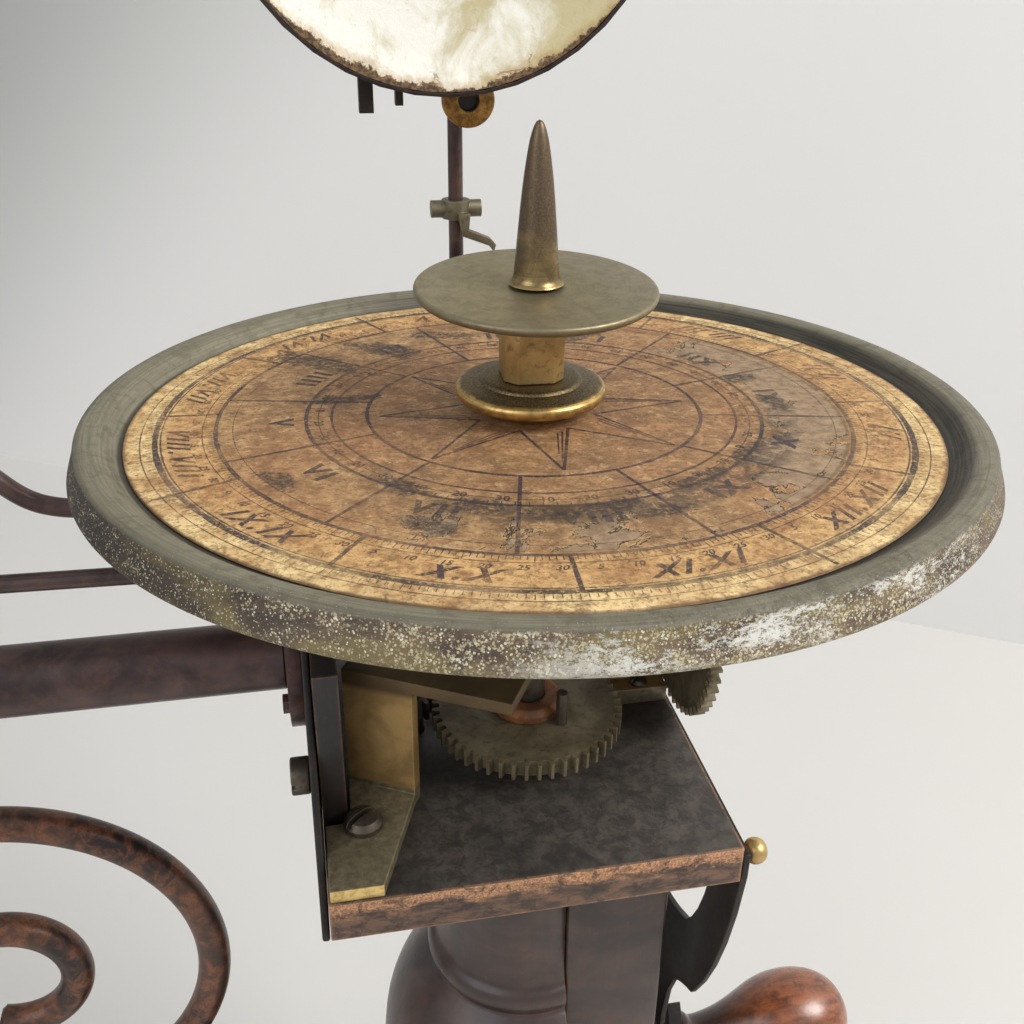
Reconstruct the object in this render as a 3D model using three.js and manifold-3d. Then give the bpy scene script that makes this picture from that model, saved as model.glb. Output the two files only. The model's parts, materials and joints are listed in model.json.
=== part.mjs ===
// A candle tellurion: a crank-driven orrery that carries the Earth and the Moon round a candle.
// Millimetres, +Z up. The root group's origin is on the central axis at table level.
// Inside `head` heights are counted from the calendar face, so most of them are negative.
// The arm points along -X.

import * as THREE from 'three';
import { mergeVertices } from 'three/addons/utils/BufferGeometryUtils.js';
import Module from 'manifold-3d';

const wasm = await Module();
wasm.setup();

// ---------- driving dimensions ----------
const CALENDAR_HEIGHT = 340; // table to the printed face
const GAP = 0.3; // working clearance between separate pieces
const SEAT = 0.1; // clearance where one piece rests on another

const SPINDLE_R = 4;
const PAPER_R = 79.7;
const DISH = { radius: 89.8, drop: 2.1, lean: THREE.MathUtils.degToRad(1.43) }; // leans back a little
const CANDLE_SHIFT = -0.7; // the holder stands a little off the axis
const PAN_LEAN = THREE.MathUtils.degToRad(3); // the drip pan has bent down at the front

const PLATFORM = { left: -48.8, right: 38.3, half: 43, top: -87.5, bottom: -97.2 };
const COLUMN_TOP = PLATFORM.bottom - 0.2;
const COLUMN_FOOT = -296;
const PILASTER = { left: 6.5, right: 31.2, half: 22, bottom: -200 };
const HANGER_X = 38.7; // inner face of the sheet that carries the crank
const SHEET = 1.6;

const SHAFT_Y = 9; // the arm shaft passes behind the spindle
const SHAFT_Z = -62;
const SHAFT_R = 2;
const TUBE = { right: -54.3, left: -209.6, outer: 7.9, inner: 5.8 };
const EARTH_X = -236; // upright axis of the Earth, at y = SHAFT_Y
const RAIL_Z = -35; // axis of the thin Moon shaft
const RAIL_R = 1.95;

const CRANK_Z = -241;
const CRANK_THROW = 36;

const GLOBE = { radius: 26, z: 92, tilt: THREE.MathUtils.degToRad(23.5) };
const MOON = { radius: 7, orbit: 47 };

const MIRROR = { x: -3, y: 105, z: 103.5, radius: 57.5, pivotZ: 60 };
const REFLECTOR_ARM_Z = -15;

// Spur pair on the platform, then the bevel pairs. Each wheel drives its pinion at a right angle.
const SUN_GEAR = { teeth: 48, module: 0.9 };
const ARBOR_GEAR = { teeth: 12, module: 0.9 };
const MITRE_GEAR = { teeth: 16, mate: 16, module: 0.9, face: 3 };
const CRANK_TRAIN = bevelPair(36, 9, 0.93, 3.8);
const RAIL_TRAIN = bevelPair(36, 9, 1, 3.6);
const MOON_TRAIN = bevelPair(27, 9, 1, 3.2);
const EARTH_TRAIN = bevelPair(36, 9, 0.9, 4);
const ARBOR_DISTANCE = (SUN_GEAR.teeth + ARBOR_GEAR.teeth) * SUN_GEAR.module / 2 + 0.1;
const ARBOR_X = -Math.sqrt(ARBOR_DISTANCE ** 2 - SHAFT_Y ** 2);

const RAIL_YAW = Math.atan2(SHAFT_Y, -EARTH_X);

function bevelPair(teeth, mate, module, face) {
  return {
    wheel: { teeth, mate, module, face },
    pinion: { teeth: mate, mate: teeth, module, face },
  };
}

// ---------- materials ----------
function material(color, roughness, metalness) {
  return new THREE.MeshStandardMaterial({ color, roughness, metalness });
}

const MATERIALS = {
  darkWood: material(0x4a3a33, 0.5, 0),
  handleWood: material(0x8a5436, 0.3, 0),
  baseWood: material(0x43322b, 0.5, 0),
  brass: material(0x9c7f4a, 0.42, 0.9),
  oldBrass: material(0x7f775f, 0.55, 0.8),
  gearBrass: material(0x6a5f45, 0.6, 0.8),
  steel: material(0x6b6864, 0.45, 0.9),
  blackIron: material(0x35332f, 0.6, 0.6),
  brownIron: material(0x5a3c30, 0.45, 0.6),
  dishPaint: material(0x7d7564, 0.7, 0.2),
  paper: material(0xc9a56f, 0.85, 0),
  globePaper: material(0xb8a06f, 0.6, 0),
  ivory: material(0xe4dac0, 0.45, 0),
  silvering: material(0xeae2c6, 0.25, 0.8),
};

// ---------- solids ----------
function toSolid(geometry) {
  const bare = geometry.clone();
  bare.deleteAttribute('normal');
  bare.deleteAttribute('uv');
  const merged = mergeVertices(bare, 1e-4);
  const vertProperties = new Float32Array(merged.attributes.position.array);
  const triVerts = new Uint32Array(merged.index.array);
  return new wasm.Manifold(new wasm.Mesh({ numProp: 3, vertProperties, triVerts }));
}

function toGeometry(solid) {
  const mesh = solid.getMesh();
  const geometry = new THREE.BufferGeometry();
  geometry.setAttribute('position', new THREE.BufferAttribute(new Float32Array(mesh.vertProperties), 3));
  geometry.setIndex(new THREE.BufferAttribute(new Uint32Array(mesh.triVerts), 1));
  return geometry;
}

function join(first, ...others) {
  return toGeometry(others.reduce((sum, other) => sum.add(toSolid(other)), toSolid(first)));
}

function cut(first, ...others) {
  return toGeometry(others.reduce((rest, other) => rest.subtract(toSolid(other)), toSolid(first)));
}

// Turns a [radius, height] outline about the Z axis.
function lathe(outline, segments = 24) {
  const points = outline.map(([radius, height]) => new THREE.Vector2(radius, height));
  return new THREE.LatheGeometry(points, segments).rotateX(Math.PI / 2);
}

// A ring or bush about Z: its outline closes on itself round the bore.
function bushing(bore, radius, low, high, segments = 24) {
  return lathe([[bore, low], [radius, low], [radius, high], [bore, high], [bore, low]], segments);
}

function cylinderZ(radius, low, high, segments = 16) {
  return new THREE.CylinderGeometry(radius, radius, high - low, segments)
    .rotateX(Math.PI / 2)
    .translate(0, 0, (low + high) / 2);
}

function cylinderX(radius, low, high, segments = 16) {
  return cylinderZ(radius, low, high, segments).rotateY(Math.PI / 2);
}

function cylinderY(radius, low, high, segments = 16) {
  return cylinderZ(radius, low, high, segments).rotateX(-Math.PI / 2);
}

function box(x0, x1, y0, y1, z0, z1) {
  return new THREE.BoxGeometry(x1 - x0, y1 - y0, z1 - z0)
    .translate((x0 + x1) / 2, (y0 + y1) / 2, (z0 + z1) / 2);
}

function shapeOf(points) {
  return new THREE.Shape(points.map(([x, y]) => new THREE.Vector2(x, y)));
}

// Extrudes a plan outline upwards from `low` to `high`.
function slab(shape, low, high, curveSegments = 8) {
  return new THREE.ExtrudeGeometry(shape, { depth: high - low, bevelEnabled: false, curveSegments })
    .translate(0, 0, low);
}

// Extrudes an outline drawn in (y, z) along +X from `low` to `high`.
function sheetX(shape, low, high, curveSegments = 8) {
  const toYZ = new THREE.Matrix4().makeBasis(
    new THREE.Vector3(0, 1, 0),
    new THREE.Vector3(0, 0, 1),
    new THREE.Vector3(1, 0, 0),
  );
  return slab(shape, low, high, curveSegments).applyMatrix4(toYZ);
}

// A flat ring left open at the bottom by `halfGap` radians on each side.
function openRing(inner, outer, halfGap) {
  const [from, to] = [halfGap - Math.PI / 2, Math.PI * 1.5 - halfGap];
  const shape = new THREE.Shape();
  shape.absarc(0, 0, outer, from, to, false);
  shape.absarc(0, 0, inner, to, from, true);
  shape.closePath();
  return shape;
}

function rodAlong(curve, radius, steps, sides = 10) {
  const circle = new THREE.Shape();
  circle.absarc(0, 0, radius, 0, Math.PI * 2);
  const options = { steps, extrudePath: curve, curveSegments: sides, bevelEnabled: false };
  return new THREE.ExtrudeGeometry(circle, options);
}

function curveThrough(points, tension = 0.5) {
  const vectors = points.map(([x, y, z]) => new THREE.Vector3(x, y, z));
  return new THREE.CatmullRomCurve3(vectors, false, 'catmullrom', tension);
}

// ---------- gears ----------
// Each tooth is a trapezium: [share of the pitch from the tooth's centre, height in modules].
const TOOTH = [[-0.25, -1.15], [-0.11, 0.75], [0.11, 0.75], [0.25, -1.15]];

function toothOutline(teeth, phase, radiusAt) {
  const pitch = Math.PI * 2 / teeth;
  const points = [];
  for (let k = 0; k < teeth; k += 1) {
    for (const [share, height] of TOOTH) {
      const angle = phase + (k + share) * pitch;
      const radius = radiusAt(height);
      points.push(new THREE.Vector2(radius * Math.cos(angle), radius * Math.sin(angle)));
    }
  }
  return points;
}

function circlePoints(radius, sides) {
  return Array.from({ length: sides }, (_, k) => {
    const angle = k * Math.PI * 2 / sides;
    return new THREE.Vector2(radius * Math.cos(angle), radius * Math.sin(angle));
  });
}

// A spur gear about Z from `low` to `high`. `phase` is the direction of one tooth's centre.
function spurGear({ teeth, module, bore }, low, high, phase) {
  const shape = new THREE.Shape(toothOutline(teeth, phase, (height) => module * (teeth / 2 + height)));
  if (bore) shape.holes.push(new THREE.Path(circlePoints(bore, 16)));
  return slab(shape, low, high);
}

// A straight bevel gear about Z. The pitch cone's apex is the origin and the teeth face +Z.
// Its large end is at the height -(pitch radius of the mating gear). `back` is how far the
// web at the bore stands behind the teeth.
function bevelGear({ teeth, mate, module, face, bore, back = 1 }, phase = 0) {
  const radius = module * teeth / 2;
  const mateRadius = module * mate / 2;
  const cone = Math.hypot(radius, mateRadius);
  const [across, along] = [mateRadius / cone, radius / cone];
  const radiusAt = (height) => radius + height * module * across;
  const outline = toothOutline(teeth, phase, radiusAt);
  const heights = Array.from({ length: teeth }, () => TOOTH.map(([, height]) => height)).flat();
  const hole = bore ? circlePoints(bore, 16) : [new THREE.Vector2(0, 0)];
  const shrink = (cone - face) / cone;
  const rootDrop = 1.15 * module * along;
  const webs = [-mateRadius - rootDrop - back, (-mateRadius - rootDrop) * shrink];
  const positions = [];
  [1, shrink].forEach((scale, end) => {
    outline.forEach((point, k) => {
      const z = scale * (-mateRadius + heights[k] * module * along);
      positions.push(scale * point.x, scale * point.y, z);
    });
    hole.forEach((point) => positions.push(point.x, point.y, webs[end]));
  });
  const geometry = new THREE.BufferGeometry();
  geometry.setAttribute('position', new THREE.Float32BufferAttribute(positions, 3));
  geometry.setIndex(bevelFaces(outline, bore ? hole : []));
  return geometry;
}

// Joins the two rings of a bevel gear: its teeth, its two ends and, where it has one, its bore.
function bevelFaces(outline, hole) {
  const ring = outline.length;
  const stride = ring + Math.max(1, hole.length);
  const index = [];
  for (let k = 0; k < ring; k += 1) {
    const next = (k + 1) % ring;
    index.push(k, next, stride + k, next, stride + next, stride + k);
    if (!hole.length) index.push(next, k, ring, stride + k, stride + next, stride + ring);
  }
  for (let k = 0; k < hole.length; k += 1) {
    const [a, b] = [ring + k, ring + (k + 1) % hole.length];
    index.push(b, a, stride + a, b, stride + a, stride + b);
  }
  if (hole.length) {
    for (const [a, b, c] of THREE.ShapeUtils.triangulateShape(outline, [hole])) {
      index.push(a, c, b, stride + a, stride + b, stride + c);
    }
  }
  return index;
}

// ---------- the scene graph ----------
const group = new THREE.Group();
const head = new THREE.Group();
head.position.z = CALENDAR_HEIGHT;
group.add(head);

function place(name, geometry, look, parent = head) {
  const mesh = new THREE.Mesh(geometry, MATERIALS[look]);
  mesh.name = name;
  parent.add(mesh);
  return mesh;
}

// ---------- stand ----------
function addStand() {
  const table = -CALENDAR_HEIGHT;
  place('base', cut(lathe([
    [0, table], [92, table], [95, table + 2], [95, table + 6], [90, table + 9.5],
    [85, table + 14], [70, table + 18], [58, table + 24], [50, table + 33], [46, table + 40],
    [0, table + 40],
  ], 40), cylinderZ(SPINDLE_R + GAP, table + 12, 0)), 'baseWood');
  place('base_washer', bushing(SPINDLE_R + GAP, 34, table + 40.2, COLUMN_FOOT - 0.4, 32), 'brass');
  place('spindle', lathe([
    [0, table + 12.3], [SPINDLE_R, table + 12.3], [SPINDLE_R, -22], [6.5, -22], [6.5, -18],
    [SPINDLE_R, -18], [SPINDLE_R, -9.4], [0, -9.4],
  ], 20), 'steel');
}

// The fixed bevel wheel low in the column, on which the crank pinion rolls.
function addDriveWheel() {
  const wheel = bevelGear({ ...CRANK_TRAIN.wheel, bore: SPINDLE_R + SEAT, back: 4 });
  place('base_bevel_wheel', wheel, 'gearBrass').position.z = CRANK_Z;
}

function addSunWheel() {
  const towardsArbor = Math.atan2(SHAFT_Y, ARBOR_X);
  place('sun_wheel', spurGear({ ...SUN_GEAR, bore: 5.6 }, -80.6, -76.6, towardsArbor), 'gearBrass');
  place('sun_wheel_collet', lathe([
    [4.1, -87.2], [9, -87.2], [9, -80.8], [5.2, -80.8], [5.2, -76.4], [8.4, -76.4], [8.4, -74.6],
    [7.2, -73.2], [4.1, -73.2], [4.1, -87.2],
  ]), 'brownIron');
  place('sun_wheel_pin', cylinderZ(1.3, -76.5, -68, 10).translate(6.2, -8.6, 0), 'steel');
}

// The fixed wheel above the thin shaft; its teeth face down.
function addRailWheel() {
  const wheel = bevelGear({ ...RAIL_TRAIN.wheel, bore: SPINDLE_R + SEAT, back: 3 }, Math.PI + RAIL_YAW);
  place('upper_bevel_wheel', wheel.rotateX(Math.PI), 'gearBrass').position.z = RAIL_Z;
}

function addCalendar() {
  const calendar = new THREE.Group();
  calendar.position.z = -DISH.drop;
  calendar.rotation.x = -DISH.lean;
  head.add(calendar);
  place('calendar_dish', lathe([
    [0, -6.8], [84, -6.8], [88.4, -4.8], [DISH.radius, -3.6], [88.9, -0.6], [88.1, 2], [87, 2.6],
    [85.3, 2.6], [83.5, 1.9], [81.5, 0.2], [80.3, -0.7], [0, -0.7],
  ], 64), 'dishPaint', calendar);
  const card = lathe([[0, -0.6], [PAPER_R, -0.6], [PAPER_R, -0.2], [0, -0.2]], 48);
  place('calendar_paper', card, 'paper', calendar);
}

function addCandleHolder() {
  place('candle_flange', lathe([
    [0, -1.85], [9.2, -1.85], [9.8, -0.9], [12, 0.4], [14.6, 1.1], [15.2, 2.2], [14.8, 3.4], [12.6, 4.1],
    [9.4, 5], [0, 5],
  ], 32), 'brass').position.x = CANDLE_SHIFT;
  place('candle_stem', stemGeometry(), 'brass').position.x = CANDLE_SHIFT;
  const pan = lathe([
    [0, -1.2], [9, -1.2], [21.6, -0.7], [23.3, -0.3], [23.7, 0.5], [23.2, 1.4], [8, 1.2], [0, 1.2],
  ], 40);
  place('drip_pan', pan.rotateX(PAN_LEAN).translate(0, 0, 22), 'oldBrass');
  place('pricket', lathe([
    [0, 23.7], [5.4, 23.7], [4.75, 24.6], [4.3, 26.4], [3.75, 33.4], [2.65, 44.8], [1.9, 49.5],
    [1.15, 52.3], [0.5, 53.4], [0, 53.6],
  ], 20), 'oldBrass');
}

// A square brass post with its corners planed off, turned a little about the axis.
function stemGeometry() {
  const half = 6;
  const chamfer = 2.4;
  const points = [];
  for (let side = 0; side < 4; side += 1) {
    const turn = side * Math.PI / 2 - 0.03;
    for (const along of [-half + chamfer, half - chamfer]) {
      const x = half * Math.cos(turn) - along * Math.sin(turn);
      const y = half * Math.sin(turn) + along * Math.cos(turn);
      points.push([x, y]);
    }
  }
  return slab(shapeOf(points), 5.1, 20.3);
}

// ---------- carriage: column, platform and their irons ----------
function addColumn() {
  const turned = lathe([
    [0, COLUMN_FOOT], [34, COLUMN_FOOT], [36, COLUMN_FOOT + 3], [36, COLUMN_FOOT + 9],
    [32, COLUMN_FOOT + 13], [29, -262], [28.5, -232], [32, -214], [37, -196], [37.5, -184],
    [34.5, -168], [28.5, -158.5], [24.2, -154], [24.9, -150.5], [23.6, -147], [21.4, -141],
    [20.5, COLUMN_TOP], [0, COLUMN_TOP],
  ], 32);
  const pilasterRoom = box(
    PILASTER.left - GAP, 60, -60, 60, PILASTER.bottom - GAP, COLUMN_TOP + 10,
  );
  place('column', cut(
    turned,
    pilasterRoom,
    cylinderZ(SPINDLE_R + 0.5, COLUMN_FOOT - 5, COLUMN_TOP + 5, 20),
    cylinderZ(22, COLUMN_FOOT - 5, CRANK_Z + 12, 20),
    cylinderX(4, 0, 60, 20).translate(0, 0, CRANK_Z),
  ), 'darkWood');
  place('pilaster', box(
    PILASTER.left, PILASTER.right, -PILASTER.half, PILASTER.half, PILASTER.bottom, COLUMN_TOP,
  ), 'darkWood');
}

function addPlatform() {
  const board = box(
    PLATFORM.left, PLATFORM.right, -PLATFORM.half, PLATFORM.half, PLATFORM.bottom, PLATFORM.top,
  );
  place('platform', cut(
    board,
    cylinderZ(SPINDLE_R + 0.6, -110, -80),
    cylinderZ(SHAFT_R + GAP, PLATFORM.top - 4, -80, 20).translate(ARBOR_X, SHAFT_Y, 0),
  ), 'darkWood');
}

function addEndPlates() {
  const shaftHole = cylinderX(SHAFT_R + 0.6, -70, -40, 20).translate(0, SHAFT_Y, SHAFT_Z);
  place('end_board', cut(box(-48.7, -43.4, -21.2, 36, PLATFORM.top + SEAT, -48), shaftHole), 'darkWood');
  const outline = shapeOf([
    [-43, PLATFORM.bottom], [43, PLATFORM.bottom], [43, -90], [28, -52], [22, -43], [-6, -43], [-14, -56],
  ]);
  place('side_plate', cut(sheetX(outline, -50.6, -49), shaftHole), 'blackIron');
  place('side_screw', screwX(-54.6, -50.7, 4).translate(0, -19, -74), 'steel');
  const flange = join(
    cylinderX(16.5, -54, -50.8, 36).translate(0, SHAFT_Y, SHAFT_Z),
    ...[0, 1, 2].map((k) => boltHead(k * Math.PI * 2 / 3 + Math.PI / 2)),
  );
  place('tube_flange', cut(flange, shaftHole), 'brownIron');
}

// One of the three bolt heads on the outer face of the arm's flange.
function boltHead(angle) {
  return cylinderX(2.2, -55.5, -53.6, 8)
    .translate(0, SHAFT_Y + 12.2 * Math.cos(angle), SHAFT_Z + 12.2 * Math.sin(angle));
}

// A round-headed screw along X whose driving slot faces -X.
function screwX(faceX, seatX, radius) {
  const headShape = cylinderX(radius, faceX, seatX, 16);
  const slot = box(faceX - 1, faceX + 0.9, -radius - 1, radius + 1, -0.5, 0.5);
  return cut(headShape, slot);
}

function addArmTube() {
  const tube = cut(
    cylinderX(TUBE.outer, TUBE.left, TUBE.right, 32),
    cylinderX(TUBE.inner, TUBE.left - 5, TUBE.right + 5, 24),
  ).translate(0, SHAFT_Y, SHAFT_Z);
  place('arm_tube', tube, 'brownIron');
}

// The brass bridge over the sun wheel: a top plate with a leg and a foot bent down at each end.
const LEG = { x: -42.6, y: -9.8, angle: -0.505, width: 16, thick: 3 };

function addBridge() {
  const [dx, dy] = [Math.cos(LEG.angle), Math.sin(LEG.angle)];
  const alongLeg = (s, inwards) => [LEG.x + s * dx - inwards * dy, LEG.y + s * dy + inwards * dx];
  const leg = shapeOf([
    alongLeg(0, 0), alongLeg(LEG.width, 0), alongLeg(LEG.width, LEG.thick), alongLeg(0, LEG.thick),
  ]);
  const foot = shapeOf([
    alongLeg(0, LEG.thick), alongLeg(0, 0), [-43, -23.4], [-48.4, -23.8], [-48.4, -42.4], [-37.6, -42.4],
    alongLeg(LEG.width, 0), alongLeg(LEG.width, LEG.thick),
  ]);
  const top = shapeOf([
    alongLeg(0, 0), alongLeg(38, 0), [1, -10], [24, 2], [37.8, 10], [37.8, 17], [20, 17], [4, 22],
    [-14, 25], [-27, 25], alongLeg(0, 20),
  ]);
  const [footTop, backTop, plateLow, plateTop] = [-84.4, -83, -57.5, -54.5];
  const footLow = PLATFORM.top + SEAT;
  place('bridge', cut(
    join(
      slab(top, plateLow, plateTop),
      slab(leg, footLow, plateTop),
      slab(foot, footLow, footTop),
      box(24, 37.8, 14, 17, footLow, plateTop),
      box(24, 37.8, 9, 17, footLow, backTop),
    ),
    cylinderZ(SPINDLE_R + 1.2, -70, -40),
    box(-25, -12, SHAFT_Y - 9.5, SHAFT_Y + 9.5, -60, -50),
  ), 'brass');
  place('bridge_screw_front', slottedScrewZ(footTop + SEAT, 4.2).translate(-40.4, -24.9, 0), 'steel');
  place('bridge_screw_back', slottedScrewZ(backTop + SEAT, 2.2).translate(31, 11.4, 0), 'steel');
}

// A domed screw head of the given radius with a driving slot, seated at the height `seat`.
function slottedScrewZ(seat, radius) {
  const height = radius * 0.8;
  const dome = lathe([
    [0, seat], [radius, seat], [radius, seat + 0.38 * height], [0.79 * radius, seat + 0.76 * height],
    [0.38 * radius, seat + 0.97 * height], [0, seat + height],
  ], 16);
  const half = 0.155 * radius;
  return cut(dome, box(-5, 5, -half, half, seat + 0.42 * height, seat + 5).rotateZ(0.6));
}

function addShaftBlock() {
  const block = box(27, 33, SHAFT_Y - 5, 13.7, SHAFT_Z - 6, SHAFT_Z + 4.3);
  const bore = cylinderX(SHAFT_R + GAP, 20, 40, 20).translate(0, SHAFT_Y, SHAFT_Z);
  place('shaft_block', cut(block, bore), 'brass');
}

// The pierced ornamental sheet that hangs from the platform's edge and carries the crank's bearing.
function addHanger() {
  const outline = new THREE.Shape();
  outline.moveTo(-42.4, -90.4);
  outline.lineTo(-42.4, -97);
  outline.quadraticCurveTo(-38.5, -131, -24.5, -154.5);
  outline.quadraticCurveTo(-18, -158, -13, -163);
  outline.quadraticCurveTo(-2, -182, -10, CRANK_Z);
  outline.absarc(0, CRANK_Z, 10, Math.PI, 2 * Math.PI, false);
  outline.quadraticCurveTo(2, -182, 13, -163);
  outline.quadraticCurveTo(18, -158, 24.5, -154.5);
  outline.quadraticCurveTo(38.5, -131, 42.4, -97);
  outline.lineTo(42.4, -90.4);
  outline.closePath();
  const pierced = new THREE.Path();
  pierced.moveTo(-29, -100);
  pierced.quadraticCurveTo(-25, -128, -16, -137.5);
  pierced.quadraticCurveTo(-8, -142, 0, -144);
  pierced.quadraticCurveTo(8, -142, 16, -137.5);
  pierced.quadraticCurveTo(25, -128, 29, -100);
  pierced.closePath();
  outline.holes.push(pierced);
  const sheet = sheetX(outline, HANGER_X, HANGER_X + SHEET, 5);
  const bush = cylinderX(6, HANGER_X - 3, HANGER_X + 3, 20).translate(0, 0, CRANK_Z);
  const bore = cylinderX(3.3, 0, 60, 20).translate(0, 0, CRANK_Z);
  place('crank_hanger', cut(join(sheet, bush), bore), 'blackIron');
  const ballX = HANGER_X + SHEET + SEAT;
  const ballScrew = lathe([[0, 0], [1.5, 0], [2.5, 0.8], [2.9, 2.2], [2.3, 3.9], [0, 4.8]], 14)
    .rotateY(Math.PI / 2);
  place('ball_screw_front', ballScrew.clone().translate(ballX, -39.2, -92.6), 'brass');
  place('ball_screw_back', ballScrew.translate(ballX, 39.2, -92.6), 'brass');
}

// The wrought scroll under the arm: a wide turn that winds in to a curl, hung from the tube.
class Scroll extends THREE.Curve {
  getPoint(t, target = new THREE.Vector3()) {
    const [centreX, centreZ, wide, tight] = [-130, -151, 50, 16.3];
    if (t < 0.2) {
      const share = t / 0.2;
      const sweep = THREE.MathUtils.smoothstep(share, 0, 1);
      return target.set(
        THREE.MathUtils.lerp(-205, centreX, share),
        SHAFT_Y,
        THREE.MathUtils.lerp(SHAFT_Z - 13.2, centreZ + wide, sweep),
      );
    }
    const halfTurns = (t - 0.2) / 0.8 * 3.1;
    const angle = Math.PI / 2 - halfTurns * Math.PI;
    const radius = THREE.MathUtils.lerp(wide, tight, THREE.MathUtils.smoothstep(halfTurns, 0.7, 2));
    return target.set(centreX + radius * Math.cos(angle), SHAFT_Y, centreZ + radius * Math.sin(angle));
  }
}

function addScroll() {
  const rod = rodAlong(new Scroll(), 4.1, 60, 4);
  const clip = cut(
    join(
      cylinderX(10.2, -209, -201, 24).translate(0, SHAFT_Y, SHAFT_Z),
      box(-208, -201.5, SHAFT_Y - 3, SHAFT_Y + 3, SHAFT_Z - 16, SHAFT_Z - 8),
    ),
    cylinderX(TUBE.outer + GAP, -215, -195, 32).translate(0, SHAFT_Y, SHAFT_Z),
  );
  place('scroll_bracket', join(rod, clip), 'brownIron');
}

// The bent rod that reaches over the Moon's path and holds the day-and-night ring.
function addRingRod() {
  const [low, high, postX, rodY] = [-26.5, 138, -22, 20];
  const path = curveThrough([
    [postX, rodY, low], [-50, rodY, low], [-78, rodY, low], [-98, rodY, low], [-109, rodY, low + 6.5],
    [-118, rodY, low + 22], [-121, rodY, 30], [-124, rodY, 80], [-135, 18, high - 18], [-158, 15, high - 4],
    [-200, 11, high], [EARTH_X, SHAFT_Y, high],
  ]);
  const post = cylinderZ(3, -54.4, low + 3, 16).translate(postX, rodY, 0);
  const drop = cylinderZ(2.4, GLOBE.z + 33.8, high + 2.4, 16).translate(EARTH_X, SHAFT_Y, 0);
  place('ring_rod', join(rodAlong(path, 2.1, 40, 4), post, drop), 'brownIron');
  const ring = sheetX(openRing(29.6, 33.4, 0.65), -1.2, 1.2, 18);
  place('day_night_ring', ring.translate(EARTH_X, SHAFT_Y, GLOBE.z), 'brass');
}

// The brass frame at the end of the arm, which holds the Earth's and the Moon's wheels.
function addArmHead() {
  const [webLeft, webRight, half] = [EARTH_X + 22.4, EARTH_X + 26, 8.5];
  const [low, high] = [-88, -16];
  const frame = join(
    box(webLeft, webRight, -half, half, low, high),
    box(EARTH_X - 8, webRight, -half, half, low, low + 4),
    box(EARTH_X - 8, webRight, -half, half, high - 3, high),
  ).translate(0, SHAFT_Y, 0);
  const bores = [
    cylinderX(SHAFT_R + GAP, -230, -190, 20).translate(0, SHAFT_Y, SHAFT_Z),
    cylinderX(RAIL_R + GAP, -40, 40, 20).rotateZ(-RAIL_YAW)
      .translate(webLeft, SHAFT_Y * (1 - (webLeft - EARTH_X) / -EARTH_X), RAIL_Z),
    cylinderZ(3.9, high - 6, high + 5).translate(EARTH_X, SHAFT_Y, 0),
    cylinderZ(2.3, low + 1.2, low + 8, 20).translate(EARTH_X, SHAFT_Y, 0),
  ];
  place('arm_head', cut(frame, ...bores), 'brass');
}

// ---------- crank ----------
function addCrank() {
  const crank = new THREE.Group();
  crank.position.z = CRANK_Z;
  head.add(crank);
  const pinion = bevelGear({ ...CRANK_TRAIN.pinion, bore: 1.7 }, Math.PI + Math.PI / 9);
  place('crank_pinion', pinion.rotateY(-Math.PI / 2), 'gearBrass', crank);
  place('crank_shaft', join(cylinderX(3, 22.2, 43.2), cylinderX(1.5, 13.2, 23, 12)), 'steel', crank);
  const arm = new THREE.Shape();
  arm.moveTo(-6.5, 0);
  arm.quadraticCurveTo(-3.5, 16, -5.5, CRANK_THROW);
  arm.quadraticCurveTo(-5, CRANK_THROW + 8, 0, CRANK_THROW + 15);
  arm.quadraticCurveTo(5, CRANK_THROW + 8, 5.5, CRANK_THROW);
  arm.quadraticCurveTo(3.5, 16, 6.5, 0);
  arm.absarc(0, 0, 6.5, 0, -Math.PI, true);
  const pin = cylinderX(1.9, 46, 66, 12).translate(0, 0, CRANK_THROW);
  place('crank_arm', join(sheetX(arm, 43.4, 47.4, 4), pin), 'blackIron', crank);
  const grip = lathe([
    [0, 48], [6.6, 48], [6.6, 50.4], [5.4, 51.6], [6, 57], [8.5, 65], [12, 73], [13.9, 82],
    [13.2, 90], [9, 97], [0, 100],
  ]).rotateY(Math.PI / 2);
  const handle = cut(grip, cylinderX(1.9 + GAP, 40, 67, 12));
  place('crank_handle', handle.translate(0, 0, CRANK_THROW), 'handleWood', crank);
}

// ---------- trains ----------
function addArbor() {
  const arbor = new THREE.Group();
  arbor.position.set(ARBOR_X, SHAFT_Y, SHAFT_Z);
  head.add(arbor);
  const towardsSun = Math.atan2(-SHAFT_Y, -ARBOR_X);
  const [low, high] = [-81 - SHAFT_Z, -76.2 - SHAFT_Z];
  const leaves = spurGear(ARBOR_GEAR, low, high, towardsSun + Math.PI / ARBOR_GEAR.teeth);
  const staff = cylinderZ(SHAFT_R, PLATFORM.top - 3.6 - SHAFT_Z, -5.8);
  place('pinion_arbor', join(leaves, staff), 'steel', arbor);
  place('arbor_bevel', bevelGear({ ...MITRE_GEAR, bore: SHAFT_R + SEAT, back: 2 }), 'gearBrass', arbor);
}

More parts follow.
